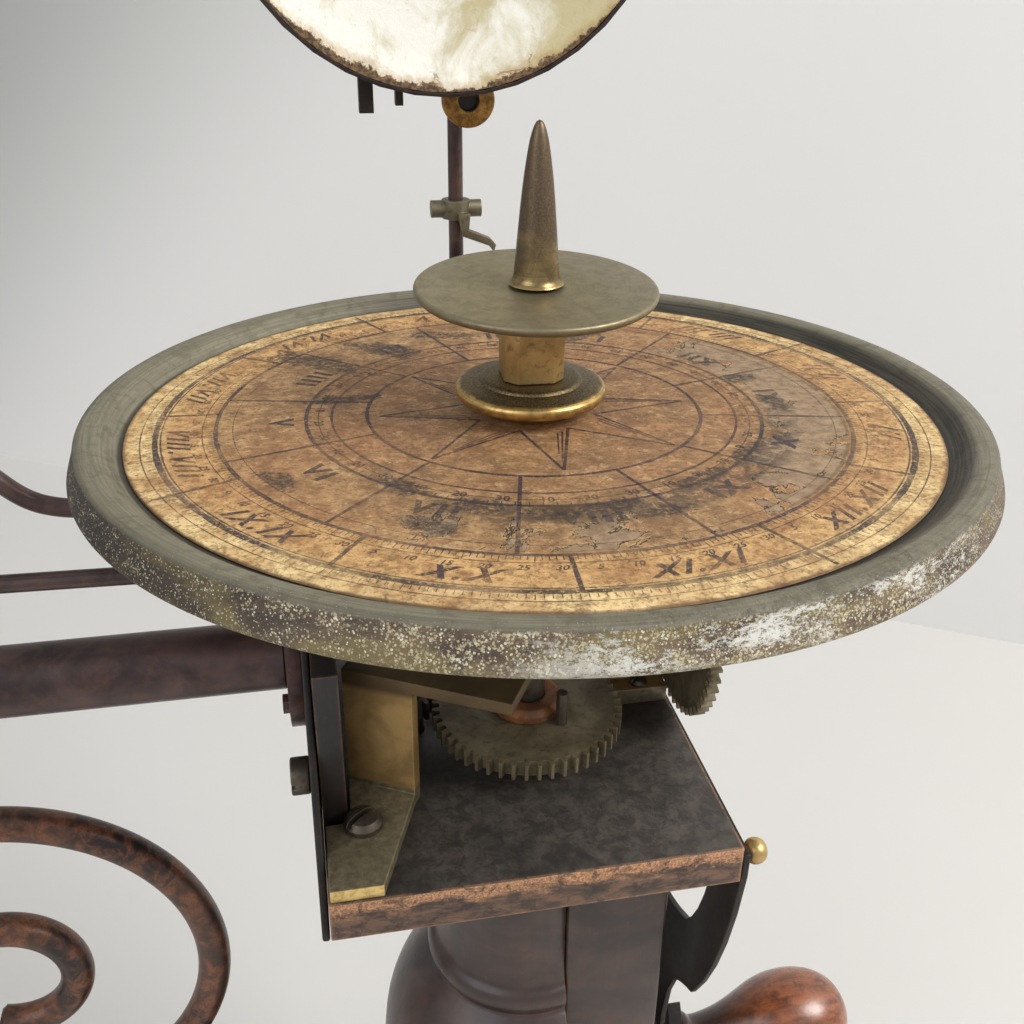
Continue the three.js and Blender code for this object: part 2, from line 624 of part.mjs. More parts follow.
function addArmShaft() {
  const shaft = new THREE.Group();
  shaft.position.set(0, SHAFT_Y, SHAFT_Z);
  head.add(shaft);
  const pinion = bevelGear(EARTH_TRAIN.pinion, Math.PI / 9)
    .rotateY(-Math.PI / 2)
    .translate(EARTH_X, 0, 0);
  place('arm_shaft', join(cylinderX(SHAFT_R, EARTH_X + 15, 44.4), pinion), 'steel', shaft);
  const mitre = bevelGear({ ...MITRE_GEAR, bore: SHAFT_R + SEAT, back: 2 }, Math.PI + Math.PI / 16)
    .rotateY(-Math.PI / 2)
    .translate(ARBOR_X, 0, 0);
  place('shaft_bevel', mitre, 'gearBrass', shaft);
  const disc = spurGear({ teeth: 48, module: 0.98, bore: SHAFT_R + SEAT }, 38.4, 41.2, 0);
  place('setting_wheel', disc.rotateY(Math.PI / 2), 'gearBrass', shaft);
}

function addMoonShaft() {
  const rail = new THREE.Group();
  rail.position.z = RAIL_Z;
  rail.rotation.z = Math.PI - RAIL_YAW;
  head.add(rail);
  const span = Math.hypot(EARTH_X, SHAFT_Y);
  const pinion = bevelGear(RAIL_TRAIN.pinion, Math.PI / 9).rotateY(-Math.PI / 2);
  place('moon_shaft', join(cylinderX(RAIL_R, 16.5, span - 4.6), pinion), 'brownIron', rail);
  const wheel = bevelGear({ ...MOON_TRAIN.wheel, bore: RAIL_R + SEAT, back: 3 }, Math.PI)
    .rotateY(Math.PI / 2)
    .translate(span, 0, 0);
  place('moon_shaft_wheel', wheel, 'gearBrass', rail);
}

function addEarth() {
  const earth = new THREE.Group();
  earth.position.set(EARTH_X, SHAFT_Y, 0);
  head.add(earth);
  const wheel = bevelGear({ ...EARTH_TRAIN.wheel, bore: SHAFT_R + SEAT, back: 3 });
  place('earth_wheel', wheel.rotateX(Math.PI), 'gearBrass', earth).position.z = SHAFT_Z;
  const pinFoot = GLOBE.z - 37;
  place('earth_spindle', lathe([
    [0, -86.5], [SHAFT_R, -86.5], [SHAFT_R, pinFoot - 7], [3.4, pinFoot - 6], [3.4, pinFoot - 2],
    [0, pinFoot - 0.2],
  ], 16), 'steel', earth);
  const axis = new THREE.Group();
  axis.position.z = GLOBE.z;
  axis.rotation.x = -GLOBE.tilt;
  earth.add(axis);
  addGlobe(axis, pinFoot);
}

// The globe turns on a bent pin that leans over by the Earth's tilt.
function addGlobe(axis, pinFoot) {
  const foot = new THREE.Vector3(0, 0, pinFoot + 1 - GLOBE.z);
  foot.applyAxisAngle(new THREE.Vector3(1, 0, 0), GLOBE.tilt);
  const bend = new THREE.QuadraticBezierCurve3(
    foot,
    new THREE.Vector3(0, foot.y * 0.35, -33.5),
    new THREE.Vector3(0, 0, -28),
  );
  const pin = join(rodAlong(bend, 1.4, 8, 4), cylinderZ(1.4, -28.4, 28, 12));
  place('globe_pin', pin, 'steel', axis);
  const ball = new THREE.SphereGeometry(GLOBE.radius, 24, 14).rotateX(Math.PI / 2);
  place('globe', cut(ball, cylinderZ(1.4 + GAP, -40, 40, 12)), 'globePaper', axis);
}

function addMoon() {
  const moon = new THREE.Group();
  moon.position.set(EARTH_X, SHAFT_Y, 0);
  head.add(moon);
  const leaves = bevelGear(MOON_TRAIN.pinion, RAIL_YAW + Math.PI / 9)
    .rotateX(Math.PI)
    .translate(0, 0, RAIL_Z);
  const sleeve = join(leaves, cylinderZ(3.5, RAIL_Z + 12.5, -8));
  place('moon_sleeve', cut(sleeve, cylinderZ(SHAFT_R + GAP, -60, 0)), 'oldBrass', moon);
  const path = curveThrough([
    [0, -4.5, -11.5], [0, -20, -11.5], [0, -36, -10.5], [0, -44, -4], [0, -MOON.orbit, 12],
    [0, -MOON.orbit, 40], [0, -MOON.orbit, GLOBE.z - MOON.radius - 0.4],
  ]);
  const arm = join(cylinderZ(6.4, -15.4, -8, 20), rodAlong(path, 1.5, 22, 4));
  place('moon_arm', cut(arm, cylinderZ(3.5 + SEAT, -30, 0)), 'brass', moon);
  const ball = new THREE.SphereGeometry(MOON.radius, 14, 9).rotateX(Math.PI / 2);
  place('moon_ball', ball.translate(0, -MOON.orbit, GLOBE.z), 'ivory', moon);
}

// ---------- reflector ----------
function addReflector() {
  const boss = cylinderZ(5.5, -19, -3, 20).translate(0, MIRROR.y, 0);
  const collar = cylinderZ(9, -17.8, -10.5, 24);
  const bar = box(-4, 4, 5, MIRROR.y, REFLECTOR_ARM_Z - 1.5, REFLECTOR_ARM_Z + 1.5);
  place('reflector_arm', cut(
    join(collar, bar, boss),
    cylinderZ(SPINDLE_R + GAP, -30, 0),
    cylinderZ(2.35, -30, 0, 20).translate(0, MIRROR.y, 0),
  ), 'blackIron');
  const rod = cylinderZ(2.05, -38, MIRROR.pivotZ - 3, 16);
  const fork = box(-3.4, 3.4, -2.6, 2.6, MIRROR.pivotZ - 6, MIRROR.pivotZ + 4);
  const forkSlot = box(-1.5, 1.5, -5, 5, MIRROR.pivotZ - 3, MIRROR.pivotZ + 9);
  const pivotPin = cylinderX(0.9, -4, 4, 12).translate(0, 0, MIRROR.pivotZ);
  const upright = join(cut(join(rod, fork), forkSlot), pivotPin);
  place('reflector_rod', upright.translate(0, MIRROR.y, 0), 'brownIron');
  const eye = cut(cylinderY(7, -5.6, -2.4, 24), cylinderY(2.7, -6, -3.6, 16));
  place('reflector_eye', eye.translate(3, MIRROR.y, 44.5), 'brass');
  place('rod_stop', rodStopGeometry(), 'oldBrass');
}

// The spring stop that grips the reflector's rod: a cross collar with a bent thumb lever.
function rodStopGeometry() {
  const collar = join(cylinderZ(4, 13, 18, 20), cylinderX(2.4, -7, 7, 16).translate(0, 0, 15.5));
  const thumb = shapeOf([
    [0, 15], [1, 9], [8.4, 6.2], [9.8, 4.4], [10.4, 6.4], [9, 8], [2.8, 10.6], [3.2, 15],
  ]);
  const lever = slab(thumb, -1.6, 1.6)
    .rotateX(Math.PI / 2)
    .translate(0, -4.4, 0);
  const stop = cut(join(collar, lever), cylinderZ(2.05 + SEAT, 0, 30, 16));
  return stop.translate(0, MIRROR.y, 0);
}

// A shallow dished mirror facing -Y, held in a thin tin back with a pivot lug.
function addMirror() {
  const mirror = new THREE.Group();
  mirror.position.set(MIRROR.x, MIRROR.y - 6, MIRROR.z);
  head.add(mirror);
  const r = MIRROR.radius;
  const glass = lathe([
    [0, 1.6], [20, 1], [40, -1.1], [r - 1.2, -4.6], [r - 1.2, -3.4], [40, 0.1], [20, 2.2], [0, 2.8],
  ], 40).rotateX(-Math.PI / 2);
  place('mirror_glass', glass, 'silvering', mirror);
  const shell = lathe([
    [0, 3], [20, 2.4], [40, 0.3], [r - 0.9, -3.1], [r - 0.9, -5.4], [r, -5.4], [r, -2.4],
    [40, 1.3], [20, 3.4], [0, 4],
  ], 40).rotateX(-Math.PI / 2);
  const pivotDrop = MIRROR.pivotZ - MIRROR.z;
  const lug = join(
    box(1.8, 4.2, 1.7, 8.2, pivotDrop - 2, pivotDrop + 16),
    box(-22.9, -19.2, -2.6, 0.4, -61.4, -51.5),
    box(-13.6, -11.6, -3, 0, -59.6, -54.5),
  );
  const pivotHole = cylinderX(1.15, 0, 6, 12).translate(0, 6, pivotDrop);
  place('mirror_back', cut(join(shell, lug), pivotHole), 'blackIron', mirror);
}

addStand();
addDriveWheel();
addSunWheel();
addRailWheel();
addCalendar();
addCandleHolder();
addColumn();
addPlatform();
addEndPlates();
addArmTube();
addBridge();
addShaftBlock();
addHanger();
addScroll();
addRingRod();
addArmHead();
addCrank();
addArbor();
addArmShaft();
addMoonShaft();
addEarth();
addMoon();
addReflector();
addMirror();

export default group;
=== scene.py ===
"""Looks for the candle tellurion: a hand-cranked orrery seen close to its calendar dish and candle holder.

Lengths are in millimetres and heights count from the printed card, until `place` lifts them into the frame.
"""

import json
import random
from math import asin, cos, degrees, hypot, pi, radians, sin, tan, tau

import bmesh
import bpy
from mathutils import Matrix, Vector

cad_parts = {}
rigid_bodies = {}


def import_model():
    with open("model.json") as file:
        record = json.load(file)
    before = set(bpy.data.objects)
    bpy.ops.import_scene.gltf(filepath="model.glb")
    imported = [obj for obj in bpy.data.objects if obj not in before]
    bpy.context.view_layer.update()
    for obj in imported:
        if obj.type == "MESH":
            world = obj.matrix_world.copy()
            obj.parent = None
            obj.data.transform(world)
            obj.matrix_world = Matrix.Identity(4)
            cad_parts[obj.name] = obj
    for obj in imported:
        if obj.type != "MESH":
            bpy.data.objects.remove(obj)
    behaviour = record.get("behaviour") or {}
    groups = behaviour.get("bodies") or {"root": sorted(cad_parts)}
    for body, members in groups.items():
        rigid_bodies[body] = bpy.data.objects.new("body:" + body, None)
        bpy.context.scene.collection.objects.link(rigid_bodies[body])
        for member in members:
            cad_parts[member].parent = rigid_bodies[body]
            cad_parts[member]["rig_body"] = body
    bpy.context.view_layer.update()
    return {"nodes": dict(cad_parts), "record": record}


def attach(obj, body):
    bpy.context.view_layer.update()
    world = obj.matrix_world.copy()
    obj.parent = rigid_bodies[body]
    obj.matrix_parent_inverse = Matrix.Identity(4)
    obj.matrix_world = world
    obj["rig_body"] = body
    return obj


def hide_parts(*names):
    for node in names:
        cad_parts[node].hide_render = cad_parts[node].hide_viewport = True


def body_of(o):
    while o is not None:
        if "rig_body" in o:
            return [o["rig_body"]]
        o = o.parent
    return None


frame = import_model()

CARD_HEIGHT = 340
MM = 0.001
UP = (0, 0, 1)
CRACKS = "DISTANCE_TO_EDGE"
DISH_DROP = 2.1
DISH_LEAN = radians(1.43)
PAPER_RADIUS = 79.7
INK_HEIGHT = -0.17
MONTH_START = -97
SIGN_START = -106
STAR_START = -92
CANDLE_SHIFT = -0.7
PAN_HEIGHT = 22
PAN_LEAN = radians(3)
CRANK_HEIGHT = -205
PLATFORM_TOP = -87.5
MIRROR = (-3, 99, 103.5)
EYE = (3, 105, 44.5)
GLOBE = (-236, 9, 92)
GLOBE_RADIUS = 26
GLOBE_TILT = radians(23.5)
ALONG_X = Matrix.Rotation(radians(90), 4, "Y")
ALONG_Y = Matrix.Rotation(radians(-90), 4, "X")
LEANING = Matrix.Translation((0, 0, -DISH_DROP)) @ Matrix.Rotation(-DISH_LEAN, 4, "X")


def place(point):
    """From millimetres about the card's centre to metres in the frame."""
    return Vector((point[0], point[1], point[2] + CARD_HEIGHT)) * MM


# ---------- colour and node helpers ----------
def linear(color):
    """Red, green and blue from 0 to 255 as linear light; a node's socket is returned as it is."""
    if not isinstance(color, tuple):
        return color
    parts = [part / 255 for part in color]
    return (*(part / 12.92 if part <= 0.04045 else ((part + 0.055) / 1.055) ** 2.4 for part in parts), 1)


class Graph:
    """One material's node tree. `place` is in millimetres and goes along with a moving piece."""

    def __init__(self, name):
        self.material = bpy.data.materials.new(name)
        self.material.use_nodes = True
        self.tree = self.material.node_tree
        self.surface = next(n for n in self.tree.nodes if n.type == "BSDF_PRINCIPLED")
        self.output = next(n for n in self.tree.nodes if n.type == "OUTPUT_MATERIAL")
        coords = self.node("ShaderNodeTexCoord").outputs["Object"]
        self.place = self.vector("SCALE", coords, 1000)
        self.x, self.y, height = self.split(self.place)
        self.z = self.minus(height, CARD_HEIGHT)

    def node(self, kind, **inputs):
        made = self.tree.nodes.new(kind)
        for name, value in inputs.items():
            self.feed(made.inputs[name.replace("_", " ")], value)
        return made

    def feed(self, socket, value):
        if isinstance(value, bpy.types.NodeSocket):
            self.tree.links.new(value, socket)
        else:
            socket.default_value = value

    def math(self, operation, first, second=0.0, clamp=False):
        made = self.node("ShaderNodeMath")
        made.operation = operation
        made.use_clamp = clamp
        self.feed(made.inputs[0], first)
        self.feed(made.inputs[1], second)
        return made.outputs[0]

    def times(self, first, second):
        return self.math("MULTIPLY", first, second)

    def plus(self, first, second, factor=1, clamp=False):
        """The first value plus the second times a factor."""
        return self.math("ADD", first, second if factor == 1 else self.times(second, factor), clamp)

    def minus(self, first, second, factor=1, clamp=False):
        return self.math("SUBTRACT", first, second if factor == 1 else self.times(second, factor), clamp)

    def scaled(self, value, factor, base):
        """The value times a factor plus a base, kept between 0 and 1."""
        return self.math("ADD", self.times(value, factor), base, True)

    def shaken(self, value, noise, amount):
        """The value moved either way by a noise about 0.5."""
        return self.plus(value, self.minus(noise, 0.5), amount)

    def apart(self, first, second):
        return self.math("ABSOLUTE", self.minus(first, second))

    def length(self, x, y):
        return self.math("SQRT", self.plus(self.times(x, x), y, y))

    def vector(self, operation, first, second):
        made = self.node("ShaderNodeVectorMath")
        made.operation = operation
        self.feed(made.inputs[0], first)
        self.feed(made.inputs["Scale" if operation == "SCALE" else 1], second)
        return made.outputs["Value" if operation == "DOT_PRODUCT" else "Vector"]

    def split(self, vector):
        return self.node("ShaderNodeSeparateXYZ", Vector=vector).outputs[:3]

    def join(self, x, y, z):
        return self.node("ShaderNodeCombineXYZ", X=x, Y=y, Z=z).outputs[0]

    def stretched(self, x, y, z):
        return self.vector("MULTIPLY", self.place, (x, y, z))

    def noise(self, scale, detail, roughness, distortion=0, where=None):
        return self.node("ShaderNodeTexNoise", Vector=where or self.place, Scale=scale, Detail=detail,
                         Roughness=roughness, Distortion=distortion).outputs[0]

    def cells(self, scale, where=None, feature="F1"):
        made = self.node("ShaderNodeTexVoronoi", Vector=where or self.place, Scale=scale)
        made.feature = feature
        return made.outputs[0]

    def step(self, value, low, high):
        """A soft step: 0 below `low`, 1 above `high` (or the other way round when low is the larger)."""
        low, high, start, end = (high, low, 1, 0) if low > high else (low, high, 0, 1)
        made = self.node("ShaderNodeMapRange", Value=value, From_Min=low, From_Max=high, To_Min=start,
                         To_Max=end)
        made.interpolation_type = "SMOOTHSTEP"
        return made.outputs[0]

    def mix(self, share, first, second):
        made = self.node("ShaderNodeMix")
        made.data_type = "RGBA"
        self.feed(made.inputs[0], share)
        self.feed(made.inputs[6], linear(first))
        self.feed(made.inputs[7], linear(second))
        return made.outputs[2]

    def fade(self, value, low, high, first, second):
        """From the first colour at `low` to the second at `high`."""
        return self.mix(self.step(value, low, high), first, second)

    def tint(self, color, mask, share, tone):
        """Lays a tone over a colour where the mask is 1, as thickly as `share`."""
        return self.mix(self.times(mask, share), color, tone)

    def stain(self, color, value, low, high, share, tone):
        """Lays a tone over a colour as a value passes from `low` to `high`."""
        return self.tint(color, self.step(value, low, high), share, tone)

    def all_of(self, *masks):
        result = masks[0]
        for mask in masks[1:]:
            result = self.times(result, mask)
        return result

    def radius(self):
        """Millimetres from the spindle."""
        return self.length(self.x, self.y)

    def angle(self):
        """Degrees about the spindle, from -180 to 180."""
        return self.times(self.math("ARCTAN2", self.y, self.x), 180 / pi)

    def edges(self, radius, high):
        """1 along worn outer edges, 0 on the flats."""
        rounded = self.node("ShaderNodeBevel", Radius=radius * MM).outputs[0]
        true = self.node("ShaderNodeNewGeometry").outputs["True Normal"]
        return self.step(self.minus(1, self.vector("DOT_PRODUCT", rounded, true)), 0.01, high)

    def facing(self, axis):
        """How far the surface faces along an axis, from -1 to 1."""
        normal = self.node("ShaderNodeNewGeometry").outputs["Normal"]
        return self.vector("DOT_PRODUCT", normal, axis)

    def bump(self, height, depth, strength):
        return self.node("ShaderNodeBump", Height=height, Distance=depth * MM, Strength=strength).outputs[0]

    def done(self, color, roughness, metallic, normal, coat=0.0):
        looks = {"Base Color": color, "Roughness": roughness, "Metallic": metallic, "Normal": normal,
                 "Coat Weight": coat, "Coat Roughness": 0.25}
        for name, value in looks.items():
            self.feed(self.surface.inputs[name], value)
        return self.material


# ---------- materials ----------
def aged_metal(name, light, dark, stain, bright, metallic, roughness, wear=0.35):
    """Old metal: clouded tarnish, small stains, fine scratches and edges rubbed bright."""
    g = Graph(name)
    cloud = g.noise(0.09, 5, 0.6, 0.6)
    mottle = g.noise(0.55, 6, 0.7)
    fine = g.noise(3.2, 4, 0.7)
    color = g.fade(cloud, 0.35, 0.66, light, dark)
    color = g.stain(color, mottle, 0.5, 0.72, 0.7, stain)
    color = g.stain(color, fine, 0.62, 0.8, 0.45, stain)
    rubbed = g.all_of(g.edges(wear, 0.2), g.step(mottle, 0.3, 0.55))
    color = g.tint(color, rubbed, 0.75, bright)
    scratch = g.noise(1.2, 3, 0.6, 0, g.stretched(1, 1, 0.08))
    rough = g.scaled(g.plus(mottle, fine), 0.24, roughness - 0.24)
    rough = g.minus(rough, rubbed, 0.14, True)
    height = g.plus(g.times(mottle, 0.7), scratch, 0.5)
    return g.done(color, rough, metallic, g.bump(g.plus(height, fine), 0.05, 0.5))


def turned_brass(name, light, dark, stain, bright, metallic, roughness, tooled=0.4, dull_and_shade=None):
    """Lathe-turned brass: fine circular tool marks under an uneven tarnish, brighter at the rim.
    dull_and_shade is the height where a darker, duller band starts, the height where it is full, and its
    colour: tarnish and painted shade on the flange's top under the drip pan, painted reflection up the
    pricket."""
    g = Graph(name)
    radius = g.radius()
    rings = g.noise(1.0, 3, 0.6, 0, g.join(g.times(radius, 3.4), g.times(g.z, 3.4), 0.0))
    mottle = g.noise(0.3, 6, 0.72, 0.6)
    fine = g.noise(2.6, 5, 0.75)
    color = g.fade(mottle, 0.36, 0.66, light, dark)
    color = g.stain(color, rings, 0.42, 0.66, tooled, stain)
    color = g.stain(color, fine, 0.6, 0.78, 0.5, stain)
    rubbed = g.all_of(g.edges(0.7, 0.18), g.step(mottle, 0.28, 0.5))
    rough = g.scaled(g.plus(mottle, rings), 0.2, roughness - 0.2)
    # Painted shade and reflection: a darker, duller band above a given height, without rubbed edges.
    if dull_and_shade:
        uneven = g.times(g.minus(mottle, 0.5), (dull_and_shade[1] - dull_and_shade[0]) * 1.5)
        dull_and_shade_mask = g.step(g.plus(g.z, uneven), dull_and_shade[0], dull_and_shade[1])
        color = g.mix(dull_and_shade_mask, color, g.stain(dull_and_shade[2], fine, 0.4, 0.7, 0.4, light))
        rubbed = g.times(rubbed, g.minus(1.0, dull_and_shade_mask))
        rough = g.plus(rough, dull_and_shade_mask, 0.14, True)
    color = g.tint(color, rubbed, 0.8, bright)
    rough = g.minus(rough, rubbed, 0.15, True)
    height = g.plus(g.times(rings, tooled * 2.5), fine, 0.7)
    return g.done(color, rough, metallic, g.bump(height, 0.05, 0.45))


def lacquered_wood(name, deep, warm, worn, gloss):
    """Dark stained wood: long soft grain, a cloudy lacquer and coppery wear on the edges."""
    g = Graph(name)
    cloud = g.noise(0.045, 4, 0.55, 0.4)
    grain = g.noise(0.5, 5, 0.65, 0.5, g.stretched(1, 1, 0.12))
    pores = g.noise(2.4, 3, 0.6, 0, g.stretched(1, 1, 0.1))
    mottle = g.noise(0.35, 6, 0.7, 0.3)
    color = g.fade(cloud, 0.36, 0.64, deep, warm)
    color = g.stain(color, grain, 0.45, 0.75, 0.35, deep)
    color = g.stain(color, mottle, 0.55, 0.8, 0.25, worn)
    rubbed = g.all_of(g.edges(0.9, 0.22), g.step(g.noise(0.22, 5, 0.7, 0.8), 0.32, 0.56))
    color = g.tint(color, rubbed, 0.85, worn)
    height = g.plus(grain, pores, 0.5)
    return g.done(color, g.scaled(mottle, 0.3, gloss - 0.1), 0.0, g.bump(height, 0.09, 0.5), 0.25)


def platform_wood():
    """The platform: dusty charcoal top, and front edges rubbed through to copper-coloured wood, with a painted
    highlight along the sides' top and painted shade lower down.
    """
    g = Graph("platform_wood")
    mottle = g.noise(0.3, 6, 0.72, 0.4)
    fine = g.noise(1.7, 5, 0.75)
    cloud = g.noise(0.06, 4, 0.6)
    top = g.fade(mottle, 0.36, 0.68, (52, 47, 43), (80, 74, 66))
    top = g.stain(top, fine, 0.6, 0.76, 0.5, (112, 106, 97))
    top = g.stain(top, cloud, 0.5, 0.7, 0.5, (34, 31, 30))
    streak = g.noise(0.35, 5, 0.7, 0.5, g.stretched(0.4, 0.4, 1.3))
    # The sides: a copper band along the top, part wear and part painted highlight, going dark lower down as
    # painted shade.
    depth = g.shaken(g.minus(PLATFORM_TOP, g.z), streak, 9)
    worn_and_lit_band = g.fade(fine, 0.4, 0.6, (196, 146, 104), (128, 90, 64))
    side = g.fade(depth, 1.4, 4.6, worn_and_lit_band, g.fade(streak, 0.4, 0.62, (108, 80, 60), (62, 48, 40)))
    side = g.stain(side, mottle, 0.5, 0.62, 0.75, (48, 35, 31))
    side = g.stain(side, fine, 0.62, 0.76, 0.35, (168, 120, 86))
    color = g.fade(g.facing(UP), 0.4, 0.75, side, top)
    rubbed = g.all_of(g.edges(1.1, 0.25), g.step(g.noise(0.16, 5, 0.7, 1), 0.36, 0.52))
    color = g.tint(color, rubbed, 0.9, (196, 142, 100))
    height = g.plus(mottle, fine, 0.6)
    return g.done(color, g.scaled(mottle, 0.35, 0.42), 0.0, g.bump(height, 0.16, 0.6), 0.1)


def dish_paint():
    """The dish: greenish-grey shoulder, an inner wall painted near-black at its right and back as painted
    shade, and a flaked band round the outside.
    """
    g = Graph("dish_paint")
    radius = g.radius()
    angle = g.angle()
    height = g.plus(g.z, g.plus(DISH_DROP, g.y, tan(DISH_LEAN)))
    turned = g.join(g.times(angle, 0.08), g.times(radius, 2.2), g.times(height, 2.2))
    streak = g.noise(1.0, 5, 0.6, 0.2, turned)
    mottle = g.noise(0.22, 6, 0.7, 0.5)
    fine = g.noise(1.8, 5, 0.75)
    shoulder = g.fade(streak, 0.3, 0.7, (108, 105, 88), (134, 128, 108))
    shoulder = g.stain(shoulder, mottle, 0.46, 0.66, 0.6, (92, 84, 68))
    worn = g.times(g.step(radius, 86.2, 89), 0.55)
    shoulder = g.mix(worn, shoulder, (70, 65, 55))
    inner = g.fade(streak, 0.4, 0.6, (50, 47, 41), (76, 73, 62))
    # Painted shade: the inner wall is near-black only on its right and back, the side turned from the light;
    # elsewhere it keeps the shoulder's colour.
    shaded = g.step(g.apart(angle, 20), 112, 62)
    color = g.mix(g.all_of(g.step(radius, 84.6, 82.6), shaded), shoulder, inner)
    seam = g.times(g.step(radius, 80.9, 80.4), 0.8)
    color = g.mix(seam, color, (48, 42, 34))

    # The band outside: near-black on the left, purple-brown in front, flaked white at the front right.
    around = g.join(g.times(angle, 0.9), g.times(height, 1.2), 0.0)
    towards = g.step(angle, -160, -98)
    patch = g.step(g.noise(0.16, 5, 0.7, 0.3, around), 0.38, 0.62)
    band = g.mix(towards, (50, 42, 36), g.mix(patch, (76, 62, 54), (112, 95, 76)))
    yellow = g.all_of(g.step(g.noise(0.11, 4, 0.6, 0.4, around), 0.48, 0.6), g.step(angle, -158, -130))
    band = g.tint(band, yellow, 0.5, (138, 124, 74))
    front = g.step(g.apart(angle, -88), 62, 14)
    crowd = g.times(g.minus(g.noise(0.3, 5, 0.7, 0.3, around), 0.5), 0.7)
    size = g.plus(g.plus(0.25, crowd), front, 0.12)
    grit = g.cells(1.9)
    specks = g.step(g.minus(size, grit), 0.0, 0.06)
    tint = g.fade(g.cells(0.7), 0.2, 0.6, (236, 230, 204), (180, 166, 122))
    band = g.tint(band, specks, 0.9, tint)
    broken = g.plus(g.noise(1.7, 7, 0.85), size, 0.42)
    band = g.stain(band, broken, 0.7, 0.73, 0.85, (206, 196, 166))
    band = g.stain(band, broken, 0.56, 0.48, 0.5, (44, 36, 30))
    cluster = g.noise(0.13, 3, 0.5, 0.2, around)
    flake_value = g.plus(g.noise(1.0, 8, 0.88, 0.1, around), cluster, 0.55)
    right_front = g.step(g.apart(angle, -74), 36, 16)
    flakes = g.all_of(g.step(flake_value, 0.81, 0.82), g.step(grit, 0.1, 0.2), right_front)
    band = g.tint(band, flakes, 0.9, (218, 216, 206))
    outside = g.all_of(g.step(radius, 87.5, 88.0), g.step(height, 2.3, 1.5))
    color = g.mix(outside, color, band)
    lip = g.all_of(g.step(radius, 84.5, 87.2), g.step(g.minus(0.2, grit), 0, 0.06), g.step(mottle, 0.44, 0.6))
    color = g.tint(color, lip, 0.7, (190, 185, 160))
    hem = g.all_of(g.step(height, -3.0, -3.6), g.step(fine, 0.4, 0.6), towards)
    color = g.tint(color, hem, 0.35, (160, 146, 104))
    color = g.fade(height, -4.3, -4.9, color, (56, 48, 40))
    raised = g.plus(g.plus(specks, streak, 0.5), flakes, 1.2)
    return g.done(color, g.scaled(mottle, 0.3, 0.42), 0.2, g.bump(g.plus(raised, fine), 0.1, 0.7))


def smear(g, x, y, along, across, turn, ragged):
    """A soft-edged stain on the card: an ellipse whose outline `ragged` breaks up."""
    cosine, sine = cos(radians(turn)), sin(radians(turn))
    dx, dy = g.minus(g.x, x), g.minus(g.y, y)
    u = g.plus(g.times(dx, cosine / along), dy, sine / along)
    v = g.minus(g.times(dy, cosine / across), dx, sine / across)
    return g.step(g.shaken(g.length(u, v), ragged, 2.6), 1.05, 0.55)


# Soot and rubbed-off patches on the card: x, y, half length, half width and turn.
SOOT = [
    (-42, 37, 16, 5, -42), (-26, 44, 12, 5, -30), (-12, 53, 10, 3.5, -10), (48, 10.5, 4.6, 3, 20),
    (-30, -33, 6, 3, -42), (-19, -43, 9, 3.6, -22), (-7, -48, 7, 3, -8), (3, -47, 8, 3, 4),
    (22, -39, 8, 2.6, 34), (34, -30, 7, 2.8, 48), (-51, -27, 6, 3, -62), (-27, -49, 6, 3.4, -28),
    (-37, 12, 9, 2.4, 8), (12, -50, 7, 2.2, 14), (20, 46, 12, 3, 24), (50, -5, 3, 7, 8),
]


